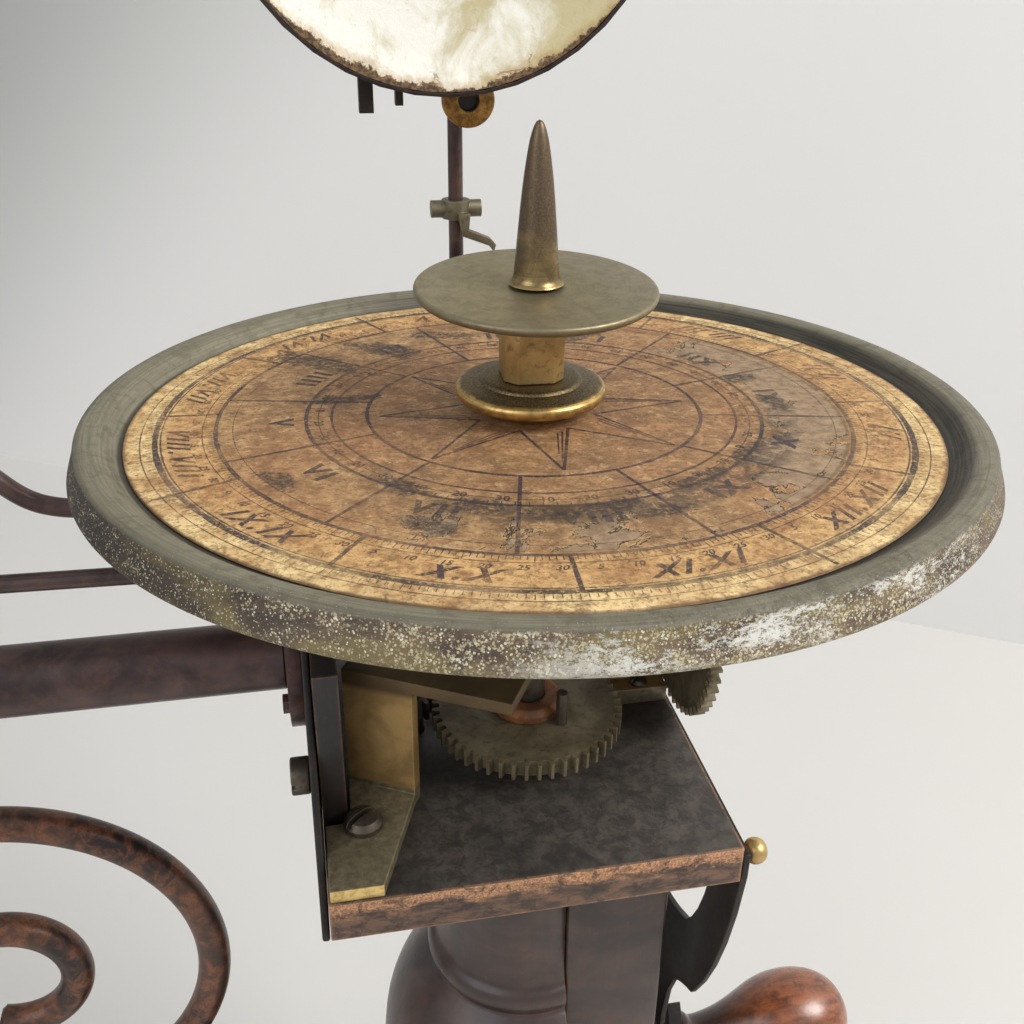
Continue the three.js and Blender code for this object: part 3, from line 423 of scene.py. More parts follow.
def card_color(g):
    """The card's own colour and relief, used for the card and under its ink."""
    radius, angle = g.radius(), g.angle()
    broad = g.noise(0.035, 4, 0.6, 0.8)
    mottle = g.noise(0.16, 6, 0.68, 0.5)
    fine = g.noise(0.9, 6, 0.75)
    fibre = g.noise(2.2, 4, 0.7, 0, g.stretched(0.5, 1.6, 1))
    border = g.fade(mottle, 0.34, 0.68, (240, 212, 152), (198, 160, 104))
    outer = g.fade(mottle, 0.34, 0.68, (216, 174, 114), (166, 122, 74))
    middle = g.fade(mottle, 0.34, 0.66, (182, 144, 98), (128, 96, 62))
    centre = g.fade(mottle, 0.34, 0.66, (176, 134, 90), (130, 96, 64))
    wander = g.shaken(radius, mottle, 8)
    color = g.fade(wander, 38, 46, centre, middle)
    color = g.fade(wander, 61, 65, color, outer)
    color = g.fade(wander, 71, 75, color, border)
    color = g.stain(color, broad, 0.46, 0.66, 0.45, (164, 112, 70))
    blotch = g.noise(0.4, 6, 0.78, 0.3)
    color = g.stain(color, blotch, 0.48, 0.62, 0.55, (120, 86, 52))
    color = g.stain(color, blotch, 0.46, 0.34, 0.4, (224, 196, 146))
    color = g.stain(color, fine, 0.49, 0.62, 0.6, (104, 76, 48))
    color = g.stain(color, fibre, 0.56, 0.76, 0.35, (220, 194, 148))
    grains = g.all_of(g.step(g.cells(0.9), 0.3, 0.16), g.step(g.noise(0.5, 5, 0.7), 0.42, 0.62))
    color = g.tint(color, grains, 0.5, (92, 66, 46))
    foxing = g.all_of(g.step(g.cells(0.11), 0.34, 0.12), g.step(fine, 0.4, 0.6))
    color = g.tint(color, foxing, 0.5, (104, 72, 48))

    # Torn patches of bare brown-grey board between the two middle rings, at the front and right.
    sector = g.step(g.apart(angle, -40), 92, 78)
    inside = g.all_of(g.step(radius, 46.2, 48.5), g.step(radius, 62.3, 61.2), sector)
    tear_noise = g.noise(0.085, 6, 0.64, 0.7)
    right = g.step(g.apart(angle, -8), 62, 26)
    tear_value = g.plus(tear_noise, right, 0.15)
    tear_value = g.minus(tear_value, g.step(radius, 52, 47), 0.05)
    torn = g.all_of(g.step(tear_value, 0.545, 0.56), inside)
    board = g.fade(g.noise(0.4, 5, 0.7), 0.35, 0.65, (164, 139, 108), (132, 108, 82))
    board = g.stain(board, fine, 0.52, 0.7, 0.4, (96, 78, 62))
    color = g.tint(color, torn, 0.92, board)
    # Painted shadow along the torn patches' outlines, where the crinkled edges cast shade.
    rim = g.all_of(g.step(g.apart(tear_value, 0.548), 0.012, 0.003), inside)
    color = g.tint(color, rim, 0.95, (54, 38, 26))
    # Painted highlight: a golden line just inside each outline, where the curled edge catches the light.
    curl = g.all_of(g.step(g.apart(tear_value, 0.534), 0.008, 0.003), inside)
    color = g.tint(color, curl, 0.35, (216, 182, 128))
    ragged = g.noise(0.28, 6, 0.75, 0.6)
    soot = smear(g, *SOOT[0], ragged)
    for stain in SOOT[1:]:
        soot = g.math("MAXIMUM", soot, smear(g, *stain, ragged))
    soot = g.all_of(soot, g.step(fine, 0.3, 0.56))
    color = g.tint(color, soot, 0.82, (50, 42, 35))
    ring = g.all_of(g.step(radius, 44.6, 46.4), g.step(radius, 55, 50), g.step(ragged, 0.42, 0.54),
                    g.step(g.apart(angle, -66), 66, 40))
    color = g.tint(color, ring, 0.7, (58, 47, 39))
    # Painted shadow: a dark line round the card's rim where it sits in the dish.
    edge = g.step(g.plus(radius, mottle, 1.6), 79.6, 80.4)
    color = g.tint(color, edge, 0.8, (104, 72, 46))
    height = g.minus(g.plus(fine, mottle, 2), torn, 2.4)
    return color, g.bump(height, 0.22, 0.8), fine


def card_paper():
    """The printed card."""
    g = Graph("card_paper")
    color, normal, fine = card_color(g)
    return g.done(color, g.scaled(fine, 0.3, 0.5), 0.0, normal)


def card_ink():
    """Faded brown-black ink, which lets the card show through where it is worn."""
    g = Graph("card_ink")
    color, normal, fine = card_color(g)
    ink = g.fade(g.noise(0.12, 3, 0.5), 0.42, 0.6, (40, 34, 34), (54, 42, 52))
    worn = g.step(g.noise(1.3, 5, 0.8), 0.7, 0.5)
    light = g.step(g.noise(0.07, 3, 0.5), 0.62, 0.4)
    share = g.times(worn, g.plus(0.6, light, 0.35))
    color = g.mix(share, color, ink)
    return g.done(color, g.scaled(fine, 0.3, 0.45), 0.0, normal)


def mirror_silver():
    """Old silvering: bright cream clouds that grow brighter towards the left as a painted reflection, yellow
    tarnish, a few cracks and a flaked brown edge.
    """
    g = Graph("mirror_silver")
    x, z = g.minus(g.x, MIRROR[0]), g.minus(g.z, MIRROR[2])
    cloud = g.noise(0.05, 6, 0.66, 0.7)
    mottle = g.noise(0.3, 6, 0.75, 0.6)
    # Painted reflection: the silvering grows brighter towards the left, where it mirrors the bright room.
    color = g.fade(g.plus(cloud, x, 0.004), 0.42, 0.66, (255, 253, 240), (208, 197, 154))
    color = g.stain(color, mottle, 0.56, 0.72, 0.4, (160, 142, 100))
    warped = g.vector("ADD", g.place, g.join(g.times(mottle, 9), 0.0, g.times(cloud, 9)))
    crack = g.step(g.cells(0.028, warped, CRACKS), 0.012, 0.003)
    crack = g.all_of(crack, g.step(g.noise(0.06, 3, 0.5), 0.5, 0.56))
    color = g.tint(color, crack, 0.7, (132, 104, 70))
    ragged = g.shaken(g.length(x, z), g.noise(0.5, 6, 0.8), 5)
    ragged = g.shaken(ragged, g.noise(0.06, 4, 0.6), 9)
    flaked = g.step(ragged, 55.0, 55.7)
    stained = g.step(ragged, 52.2, 55.4)
    color = g.tint(color, stained, 0.55, (178, 140, 76))
    brown = g.fade(g.noise(0.9, 5, 0.7), 0.4, 0.6, (52, 40, 30), (122, 92, 54))
    color = g.mix(flaked, color, brown)
    rough = g.scaled(flaked, 0.4, g.plus(0.2, mottle, 0.3))
    metallic = g.minus(0.35, flaked, 0.35, True)
    height = g.minus(g.plus(cloud, mottle), g.plus(flaked, crack), 0.5)
    return g.done(color, rough, metallic, g.bump(height, 0.25, 0.6))


def globe_gores():
    """Varnished paper gores: pale sea, tan land and fine meridians and parallels."""
    g = Graph("globe_gores")
    x, y, z = g.split(g.vector("SUBTRACT", g.place, (GLOBE[0], GLOBE[1], CARD_HEIGHT + GLOBE[2])))
    sine, cosine = sin(GLOBE_TILT), cos(GLOBE_TILT)
    up = g.plus(g.times(y, sine), z, cosine)
    out = g.minus(g.times(y, cosine), z, sine)
    shores = g.noise(0.055, 7, 0.62, 0.4)
    land = g.step(shores, 0.515, 0.53)
    sea = g.fade(g.noise(0.3, 5, 0.7), 0.35, 0.65, (190, 172, 126), (160, 142, 100))
    ground = g.fade(g.noise(0.12, 4, 0.6), 0.44, 0.56, (170, 124, 74), (148, 140, 88))
    color = g.mix(land, sea, ground)
    lines = g.step(g.apart(shores, 0.522), 0.006, 0.002)
    meridian = g.times(g.math("ARCTAN2", out, x), 12 / pi)
    parallel = g.times(g.math("ARCSINE", g.math("DIVIDE", up, GLOBE_RADIUS + 0.05)), 12 / pi)
    for value in (meridian, parallel):
        near = g.apart(g.math("FRACT", g.plus(value, 100.5)), 0.5)
        lines = g.math("MAXIMUM", lines, g.step(near, 0.035, 0.012))
    color = g.tint(color, lines, 0.65, (82, 58, 40))
    color = g.stain(color, g.noise(0.5, 6, 0.75), 0.55, 0.75, 0.35, (104, 76, 48))
    return g.done(color, 0.42, 0.0, g.bump(g.noise(0.8, 5, 0.7), 0.06, 0.4), 0.4)


def moon_paint():
    """Cream paint with a net of fine cracks."""
    g = Graph("moon_paint")
    mottle = g.noise(0.35, 6, 0.7, 0.5)
    color = g.fade(mottle, 0.4, 0.66, (230, 222, 198), (196, 178, 140))
    crazed = g.step(g.cells(0.5, None, CRACKS), 0.04, 0.01)
    color = g.tint(color, crazed, 0.35, (140, 112, 78))
    return g.done(color, g.scaled(mottle, 0.3, 0.25), 0.0, g.bump(g.minus(mottle, crazed), 0.05, 0.5), 0.3)


def eye_brass():
    """Brass round a blind hole, painted dark inside as painted shade."""
    g = Graph("eye_brass")
    x, z = g.minus(g.x, EYE[0]), g.minus(g.z, EYE[2])
    mottle = g.noise(0.6, 6, 0.7)
    color = g.fade(mottle, 0.36, 0.62, (176, 134, 72), (116, 88, 48))
    color = g.tint(color, g.edges(0.5, 0.2), 0.6, (222, 182, 110))
    # Painted shade: the inside of the blind hole is coloured near-black.
    hole = g.step(g.plus(g.length(x, z), mottle, 0.4), 3.2, 2.8)
    color = g.mix(hole, color, (30, 24, 20))
    metallic = g.minus(0.8, hole, 0.8, True)
    return g.done(color, g.scaled(mottle, 0.3, 0.28), metallic, g.bump(mottle, 0.06, 0.5))


def bridge_brass():
    """The bridge: upper plate darkened as painted shade under the dish, golden-brown leg, greenish-grey foot
    and a brighter end face in front.
    """
    g = Graph("bridge_brass")
    cloud = g.noise(0.1, 5, 0.6, 0.5)
    mottle = g.noise(0.5, 6, 0.7)
    fine = g.noise(2.6, 5, 0.75)
    leg = g.fade(cloud, 0.38, 0.64, (178, 144, 90), (146, 116, 70))
    foot = g.fade(mottle, 0.36, 0.64, (136, 126, 100), (108, 98, 76))
    # Painted shade: the upper plate lies in the dish's shadow, so it is darkened and gets no rubbed edges.
    upper = g.step(g.z, -59.5, -57.4)
    leg = g.tint(leg, upper, 0.75, (52, 42, 30))
    color = g.fade(g.z, -82.6, -83.8, leg, foot)
    color = g.stain(color, fine, 0.54, 0.74, 0.5, (84, 70, 48))
    end = g.all_of(g.step(g.y, -41.8, -42.2), g.step(g.facing((0, -1, 0)), 0.6, 0.9))
    color = g.mix(end, color, g.fade(mottle, 0.4, 0.66, (222, 192, 122), (176, 144, 86)))
    rubbed = g.all_of(g.edges(0.4, 0.2), g.step(mottle, 0.3, 0.55), g.minus(1.0, upper))
    color = g.tint(color, rubbed, 0.6, (206, 176, 116))
    return g.done(color, g.scaled(mottle, 0.3, 0.34), 0.4, g.bump(g.plus(mottle, fine), 0.06, 0.5))


def handle_varnish():
    """Glossy orange-brown wood, with painted shade that darkens it towards its inner end by the column."""
    g = Graph("handle_varnish")
    grain = g.noise(0.5, 5, 0.65, 0.6, g.stretched(0.15, 1, 1))
    mottle = g.noise(0.2, 5, 0.65, 0.6)
    color = g.fade(grain, 0.36, 0.66, (152, 88, 50), (104, 56, 34))
    color = g.stain(color, mottle, 0.5, 0.68, 0.75, (56, 32, 24))
    # Painted shade: the handle darkens towards its inner end by the column.
    color = g.fade(g.x, 78, 58, color, (50, 34, 27))
    height = g.plus(grain, g.noise(1.4, 4, 0.6))
    return g.done(color, g.scaled(mottle, 0.25, 0.16), 0.0, g.bump(height, 0.08, 0.5), 0.6)


def brown_iron(name, light, dark, copper, coppery):
    """Brown lacquer over iron: violet-grey sheen with coppery patches where it is handled."""
    g = Graph(name)
    cloud = g.noise(0.06, 4, 0.6, 0.6)
    mottle = g.noise(0.24, 6, 0.66, 0.5)
    fine = g.noise(2.2, 5, 0.75)
    color = g.fade(cloud, 0.36, 0.64, dark, light)
    patches = g.all_of(g.step(mottle, 0.42, 0.66), g.step(fine, 0.3, 0.55))
    color = g.tint(color, patches, coppery, copper)
    color = g.stain(color, fine, 0.58, 0.74, 0.5, (34, 27, 27))
    height = g.plus(mottle, fine, 0.6)
    return g.done(color, g.scaled(mottle, 0.4, 0.2), 0.45, g.bump(height, 0.1, 0.55), 0.2)


LOOKS = {
    "dark_wood": lacquered_wood("dark_wood", (44, 32, 29), (76, 55, 46), (122, 84, 62), 0.34),
    "base_wood": lacquered_wood("base_wood", (44, 31, 28), (78, 52, 42), (120, 82, 60), 0.34),
    "handle_wood": handle_varnish(),
    "brass": aged_metal("brass", (140, 112, 68), (104, 84, 54), (70, 60, 44), (216, 184, 112), 0.85, 0.42),
    "old_brass": aged_metal("old_brass", (128, 120, 98), (104, 98, 80), (76, 70, 56), (176, 160, 118),
                            0.75, 0.5),
    "gear_brass": aged_metal("gear_brass", (126, 116, 90), (92, 82, 62), (52, 43, 34), (158, 140, 98),
                             0.4, 0.55, 0.2),
    "steel": aged_metal("steel", (104, 96, 84), (78, 70, 60), (58, 44, 36), (160, 150, 134), 0.8, 0.45),
    "black_iron": aged_metal("black_iron", (46, 42, 39), (34, 31, 30), (72, 52, 40), (112, 82, 58),
                             0.4, 0.5),
    "brown_iron": brown_iron("brown_iron", (86, 66, 62), (54, 41, 40), (118, 82, 62), 0.35),
    "dish_paint": dish_paint(),
    "paper": card_paper(),
    "globe_paper": globe_gores(),
    "ivory": moon_paint(),
    "silvering": mirror_silver(),
}
STEM_BRASS = aged_metal("stem_brass", (214, 184, 124), (176, 146, 94), (96, 80, 52), (240, 212, 146),
                        0.7, 0.4)
SPECIAL_LOOKS = {
    "scroll_bracket": brown_iron("copper_iron", (84, 60, 48), (44, 34, 31), (160, 100, 64), 0.6),
    "tube_flange": brown_iron("flange_iron", (74, 50, 44), (44, 32, 31), (120, 76, 54), 0.4),
    "sun_wheel_collet": aged_metal("rusty_hub", (158, 98, 50), (104, 70, 46), (60, 46, 38), (196, 126, 66),
                                   0.25, 0.6),
    "bridge": bridge_brass(),
    "drip_pan": turned_brass("pan_brass", (140, 130, 104), (124, 115, 90), (98, 90, 70), (220, 190, 118),
                             0.7, 0.44, 0.12),
    # The pricket darkens towards its tip as a painted reflection; the flange's top under the drip pan is
    # dulled by tarnish and painted shade.
    "pricket": turned_brass("spike_brass", (158, 136, 92), (118, 101, 72), (74, 62, 46), (204, 170, 108),
                            0.9, 0.3, 0.3, (25.5, 36, (98, 84, 70))),
    "candle_flange": turned_brass("flange_brass", (218, 182, 112), (158, 130, 80), (90, 76, 50),
                                  (244, 216, 138), 0.9, 0.34, 0.3, (3.4, 3.7, (80, 74, 60))),
    "candle_stem": STEM_BRASS,
    "ball_screw_front": STEM_BRASS,
    "ball_screw_back": STEM_BRASS,
    "reflector_eye": eye_brass(),
    "platform": platform_wood(),
    # Painted shade: the end board lies in shadow between the tube flange and the platform and is coloured
    # near-black.
    "end_board": lacquered_wood("shaded_wood", (26, 22, 21), (44, 34, 30), (128, 84, 60), 0.55),
}

SLOTS = {}
for part in frame["record"]["subparts"]:
    mesh = frame["nodes"][part["node"]].data
    SLOTS[part["node"]] = part["material_slot"]
    mesh.materials.clear()
    mesh.materials.append(LOOKS[part["material_slot"]])


# ---------- mesh helpers ----------
def add_object(name, data):
    made = bpy.data.objects.new(name, data)
    bpy.context.scene.collection.objects.link(made)
    return made


def baked(helper):
    """The mesh that a helper object shows with its modifiers; the helper is removed."""
    graph = bpy.context.evaluated_depsgraph_get()
    mesh = bpy.data.meshes.new_from_object(helper.evaluated_get(graph))
    bpy.data.objects.remove(helper)
    return mesh


def add_piece(name, mesh, node, crease=38, look=None):
    """Makes a mesh the piece that stands for a CAD node, or one that only rides along in a look of its own."""
    mesh.polygons.foreach_set("use_smooth", [True] * len(mesh.polygons))
    mesh.set_sharp_from_angle(angle=radians(crease))
    mesh.materials.clear()
    mesh.materials.append(look or SPECIAL_LOOKS.get(node) or LOOKS[SLOTS[node]])
    piece = add_object(name, mesh)
    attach(piece, *body_of(frame["nodes"][node]))
    if not look:
        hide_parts(node)


def to_mesh(name, bm):
    bmesh.ops.recalc_face_normals(bm, faces=bm.faces)
    mesh = bpy.data.meshes.new(name)
    bm.to_mesh(mesh)
    bm.free()
    return mesh


def skin(bm, rings, count):
    """Faces between rings of vertices, where a ring may be one point on the axis."""
    for low, high in zip(rings, rings[1:]):
        for k in range(count):
            after = k + 1
            corners = [low[k % len(low)], low[after % len(low)], high[after % len(high)], high[k % len(high)]]
            face = list(dict.fromkeys(corners))
            if len(face) > 2:
                bm.faces.new(face)


def add_lathe(bm, outline, segments, turn=Matrix.Identity(4)):
    """Turns a closed or axis-to-axis [radius, height] outline about the local Z axis."""
    rings = []
    for radius, height in outline:
        angles = [tau * k / segments for k in range(segments if radius > 1e-6 else 1)]
        points = [(radius * cos(angle), radius * sin(angle), height) for angle in angles]
        rings.append([bm.verts.new(place(turn @ Vector(point))) for point in points])
    if len(rings[0]) > 1:
        rings.append(rings[0])
    skin(bm, rings, segments)


def spline(a, b, c, d, t):
    """A point between b and c on the smooth curve through four points."""
    return 0.5 * (2 * b + (c - a) * t + (2 * a - 5 * b + 4 * c - d) * t * t
                  + (3 * b - a - 3 * c + d) * t ** 3)


def rounded(outline, steps=4):
    """Runs a smooth curve through the inner points of an outline and keeps its two ends."""
    points = [Vector(point) for point in outline]
    ends = points[:1] + points + points[-1:]
    result = [points[0]]
    for k in range(len(points) - 1):
        result += [spline(*ends[k:k + 4], step / steps) for step in range(1, steps + 1)]
    return [(max(p.x, 0), p.y) for p in result]


def through(points, steps):
    """A smooth path through points, uniform in its knots."""
    points = [Vector(p) for p in points]
    ends = [2 * points[0] - points[1]] + points + [2 * points[-1] - points[-2]]
    spans = len(points) - 1
    path = []
    for k in range(steps + 1):
        where = min(k / steps * spans, spans - 1e-9)
        span = int(where)
        path.append(spline(*ends[span:span + 4], where - span))
    return path


def lathe_piece(node, outline, segments, turn=Matrix.Identity(4), name=None):
    """A turned piece that stands for a CAD node."""
    name = name or node + "_look"
    bm = bmesh.new()
    add_lathe(bm, outline, segments, turn)
    add_piece(name, to_mesh(name, bm), node)


def add_tube(bm, points, radius, sides=24):
    """Sweeps a round section along points, with bevelled ends."""
    points = [Vector(p) for p in points]
    last = len(points) - 1
    tangents = [(points[min(k + 1, last)] - points[max(k - 1, 0)]).normalized() for k in range(last + 1)]
    side = tangents[0].orthogonal().normalized()
    axes = []
    for tangent in tangents:
        side = (side - tangent * side.dot(tangent)).normalized()
        axes.append((side.copy(), tangent.cross(side)))
    bevel = radius * 0.25
    path = [(points[0], 0, radius - bevel), (points[0] + tangents[0] * bevel, 0, radius)]
    path += [(points[k], k, radius) for k in range(1, last)]
    path += [(points[last] - tangents[last] * bevel, last, radius), (points[last], last, radius - bevel)]
    rings = []
    for point, k, size in path:
        u, v = axes[k]
        angles = [tau * n / sides for n in range(sides)]
        offsets = [u * (size * cos(angle)) + v * (size * sin(angle)) for angle in angles]
        rings.append([bm.verts.new(place(point + offset)) for offset in offsets])
    skin(bm, rings, sides)
    bm.faces.new(rings[0][::-1])
    bm.faces.new(rings[-1])


def add_box(bm, low, high, bevel=0.3):
    made = bmesh.ops.create_cube(bm, size=1)["verts"]
    centre = (Vector(low) + Vector(high)) / 2
    size = Vector(high) - Vector(low)
    for vert in made:
        vert.co = place(centre + Vector(vert.co[i] * size[i] for i in range(3)))
    if bevel:
        edges = list({edge for vert in made for edge in vert.link_edges})
        bmesh.ops.bevel(bm, geom=edges, offset=bevel * MM, segments=2, affect="EDGES", profile=0.6)


def soften(node, width):
    """Replaces a sharp-edged CAD node by the same solid with small rounded edges."""
    bm = bmesh.new()
    bm.from_mesh(frame["nodes"][node].data)
    bmesh.ops.remove_doubles(bm, verts=bm.verts, dist=1e-6)
    bmesh.ops.dissolve_limit(bm, angle_limit=radians(3), verts=bm.verts, edges=bm.edges)
    mesh = bpy.data.meshes.new(node + "_shape")
    bm.to_mesh(mesh)
    bm.free()
    helper = add_object(node + "_helper", mesh)
    modifier = helper.modifiers.new("edges", "BEVEL")
    modifier.width = width * MM
    modifier.segments = 3
    modifier.limit_method = "ANGLE"
    modifier.angle_limit = radians(28)
    modifier.use_clamp_overlap = True
    add_piece(node + "_look", baked(helper), node, 44)


# ---------- the calendar dish and its card ----------
def build_dish():
    rim = rounded([
        (80.3, -0.7), (80.8, -0.42), (81.5, 0.2), (82.4, 1.1), (83.4, 1.86), (84.4, 2.38), (85.5, 2.62),
        (86.5, 2.66), (87.4, 2.5), (87.95, 2.1), (88.15, 1.5), (88.3, 0.9), (88.6, -0.1), (89.1, -1.5),
        (89.5, -2.6), (89.75, -3.4), (89.78, -3.9), (89.5, -4.4), (88.4, -5), (86.4, -5.9), (84, -6.75),
    ], 3)
    lathe_piece("calendar_dish", [(0, -0.7)] + rim + [(0, -6.8)], 256, LEANING)


def build_card():
    outline = [(0, -0.6), (PAPER_RADIUS - 0.3, -0.6), (PAPER_RADIUS, -0.45), (PAPER_RADIUS - 0.15, -0.22),
               (PAPER_RADIUS - 1.2, -0.2), (60, -0.2), (30, -0.2), (0, -0.2)]
    lathe_piece("calendar_paper", outline, 256, LEANING, "calendar_card")


def on_card(x, y):
    return place(LEANING @ Vector((x, y, INK_HEIGHT)))


def ink_quad(bm, corners):
    bm.faces.new([bm.verts.new(on_card(x, y)) for x, y in corners])


def ink_line(bm, start, end, width):
    (x0, y0), (x1, y1) = start, end
    length = hypot(x1 - x0, y1 - y0)
    nx, ny = -(y1 - y0) / length * width / 2, (x1 - x0) / length * width / 2
    ink_quad(bm, [(x0 + nx, y0 + ny), (x0 - nx, y0 - ny), (x1 - nx, y1 - ny), (x1 + nx, y1 + ny)])


def polar(radius, bearing):
    return radius * cos(radians(bearing)), radius * sin(radians(bearing))


def ink_ring(bm, radius, width, chance):
    """A hand-ruled ring whose width wanders a little."""
    count = 240
    widths = [width * (0.8 + 0.4 * chance.random()) for _ in range(count)]
    for k in range(count):
        a0, a1 = 360 * k / count, 360 * (k + 1) / count
        w0, w1 = widths[k], widths[(k + 1) % count]
        ink_quad(bm, [polar(radius - w0 / 2, a0), polar(radius + w0 / 2, a0), polar(radius + w1 / 2, a1),
                      polar(radius - w1 / 2, a1)])


def ink_number(bm, text, radius, bearing, size, shear=0.25, weight=0.012, spacing=1.0):
    """Sets a numeral on the card, its foot towards the rim and bent round the axis."""
    curve = bpy.data.curves.new("numeral", "FONT")
    curve.body = text
    curve.size = size
    curve.shear = shear
    curve.align_x = "CENTER"
    curve.align_y = "CENTER"
    curve.offset = size * weight
    curve.space_character = spacing
    curve.resolution_u = 2
    mesh = baked(add_object("numeral", curve))
    corners = []
    for vert in mesh.vertices:
        x, y = polar(radius - vert.co.y, bearing + degrees(vert.co.x / radius))
        corners.append(bm.verts.new(on_card(x, y)))
    for polygon in mesh.polygons:
        bm.faces.new([corners[k] for k in polygon.vertices])
    bpy.data.curves.remove(curve)
    bpy.data.meshes.remove(mesh)


# The ruled rings on the card: radius and width.
RINGS = [(33.6, 0.75), (40.6, 0.5), (45.6, 0.75), (62.8, 0.8), (72.9, 0.3), (73.9, 1.1), (65.3, 0.18),
         (76.6, 0.2), (43.2, 0.16), (59.6, 0.12)]
ROMAN = ["I", "II", "III", "IIII", "V", "VI", "VII", "VIII", "IX", "X", "XI", "XII"]


def build_ink():
    """Rings, dividers, day ticks, numerals and the compass star, as thin ink lying on the card."""
    chance = random.Random(7)
    bm = bmesh.new()
    for radius, width in RINGS:
        ink_ring(bm, radius, width, chance)
    for month in range(12):
        angle = MONTH_START + 30 * month
        outer = 79 if month % 3 == 1 else 73.6
        ink_line(bm, polar(63, angle), polar(outer, angle + 0.4), 0.75)
        sign = SIGN_START + 30 * month
        ink_line(bm, polar(33.8, sign), polar(62.6, sign + 1.6), 0.7)
        number = ROMAN[(month + 10) % 12]
        ink_number(bm, f"{number}.{number}", 69.9, angle + 15.5, 5.4, 0.5, 0.035, 1.35)
        ink_number(bm, ROMAN[(month + 7) % 12], 50.6, sign + 15, 6.2, 0, 0.045, 1.3)
        for day in range(5, 31, 5):
            ink_number(bm, str(day), 66.9, angle + day - 1.5, 2.1, 0.25, 0.02)
        for degree in (10, 20, 30):
            ink_number(bm, str(degree), 43.2, sign + degree - 3, 2.6, 0, 0.02)
        for degree in range(0, 30, 3):
            ink_line(bm, polar(44.2, sign + degree), polar(45.3, sign + degree), 0.2)
    for day in range(365):
        angle = MONTH_START + day * 360 / 365
        length = 1.8 if day % 5 == 0 else 1.2
        ink_line(bm, polar(63.2, angle), polar(63.2 + length, angle), 0.16)
        ink_line(bm, polar(74.6, angle), polar(74.6 + length * 0.9, angle), 0.16)
    for point in range(8):
        angle = STAR_START + 45 * point
        tip = polar(32.4 if point % 2 else 31.2, angle)
        for side in (-1, 1):
            ink_line(bm, polar(12.5, angle + side * 22.5), tip, 0.6)
        ink_line(bm, polar(13.6, angle + 14), polar(27, angle + 1.2), 0.34)
        ink_line(bm, polar(14.2, angle + 9), polar(24, angle + 1.2), 0.28)
    add_piece("card_ink", to_mesh("card_ink", bm), "calendar_paper", look=card_ink())


# ---------- the candle holder ----------
def build_candle_holder():
    flange = [(0, -1.84), (9.2, -1.84)] + rounded([
        (9.5, -1.3), (10.4, -0.4), (12.2, 0.4), (14, 0.75), (14.9, 1.35), (15.2, 2.2), (15, 3), (14.3, 3.6),
    ])
    flange += [(12.8, 3.85), (10.6, 4.1), (10.3, 4.2), (10.1, 4.6), (9.7, 4.9), (9.2, 5), (0, 5)]
    aside = Matrix.Translation((CANDLE_SHIFT, 0, 0))
    lathe_piece("candle_flange", flange, 160, aside)
    pan = [(0, -1.2), (9, -1.15), (15.6, -0.95)] + rounded([
        (21.4, -0.72), (22.8, -0.5), (23.5, 0), (23.7, 0.6), (23.5, 1.15), (22.8, 1.42),
    ], 3)
    pan += [(8, 1.2), (0, 1.2)]
    lean = Matrix.Translation((0, 0, PAN_HEIGHT)) @ Matrix.Rotation(PAN_LEAN, 4, "X")
    lathe_piece("drip_pan", pan, 192, lean)
    spike = [(0, 23.7), (5.4, 23.72)] + rounded([
        (5.2, 23.95), (4.75, 24.5), (4.45, 25.4), (4.25, 27.4), (3.75, 33.4), (3.2, 39.5), (2.6, 44.8),
        (1.85, 49.6), (1.15, 52.2), (0.6, 53.3),
    ])
    lathe_piece("pricket", spike + [(0, 53.6)], 64)
    soften("candle_stem", 0.35)


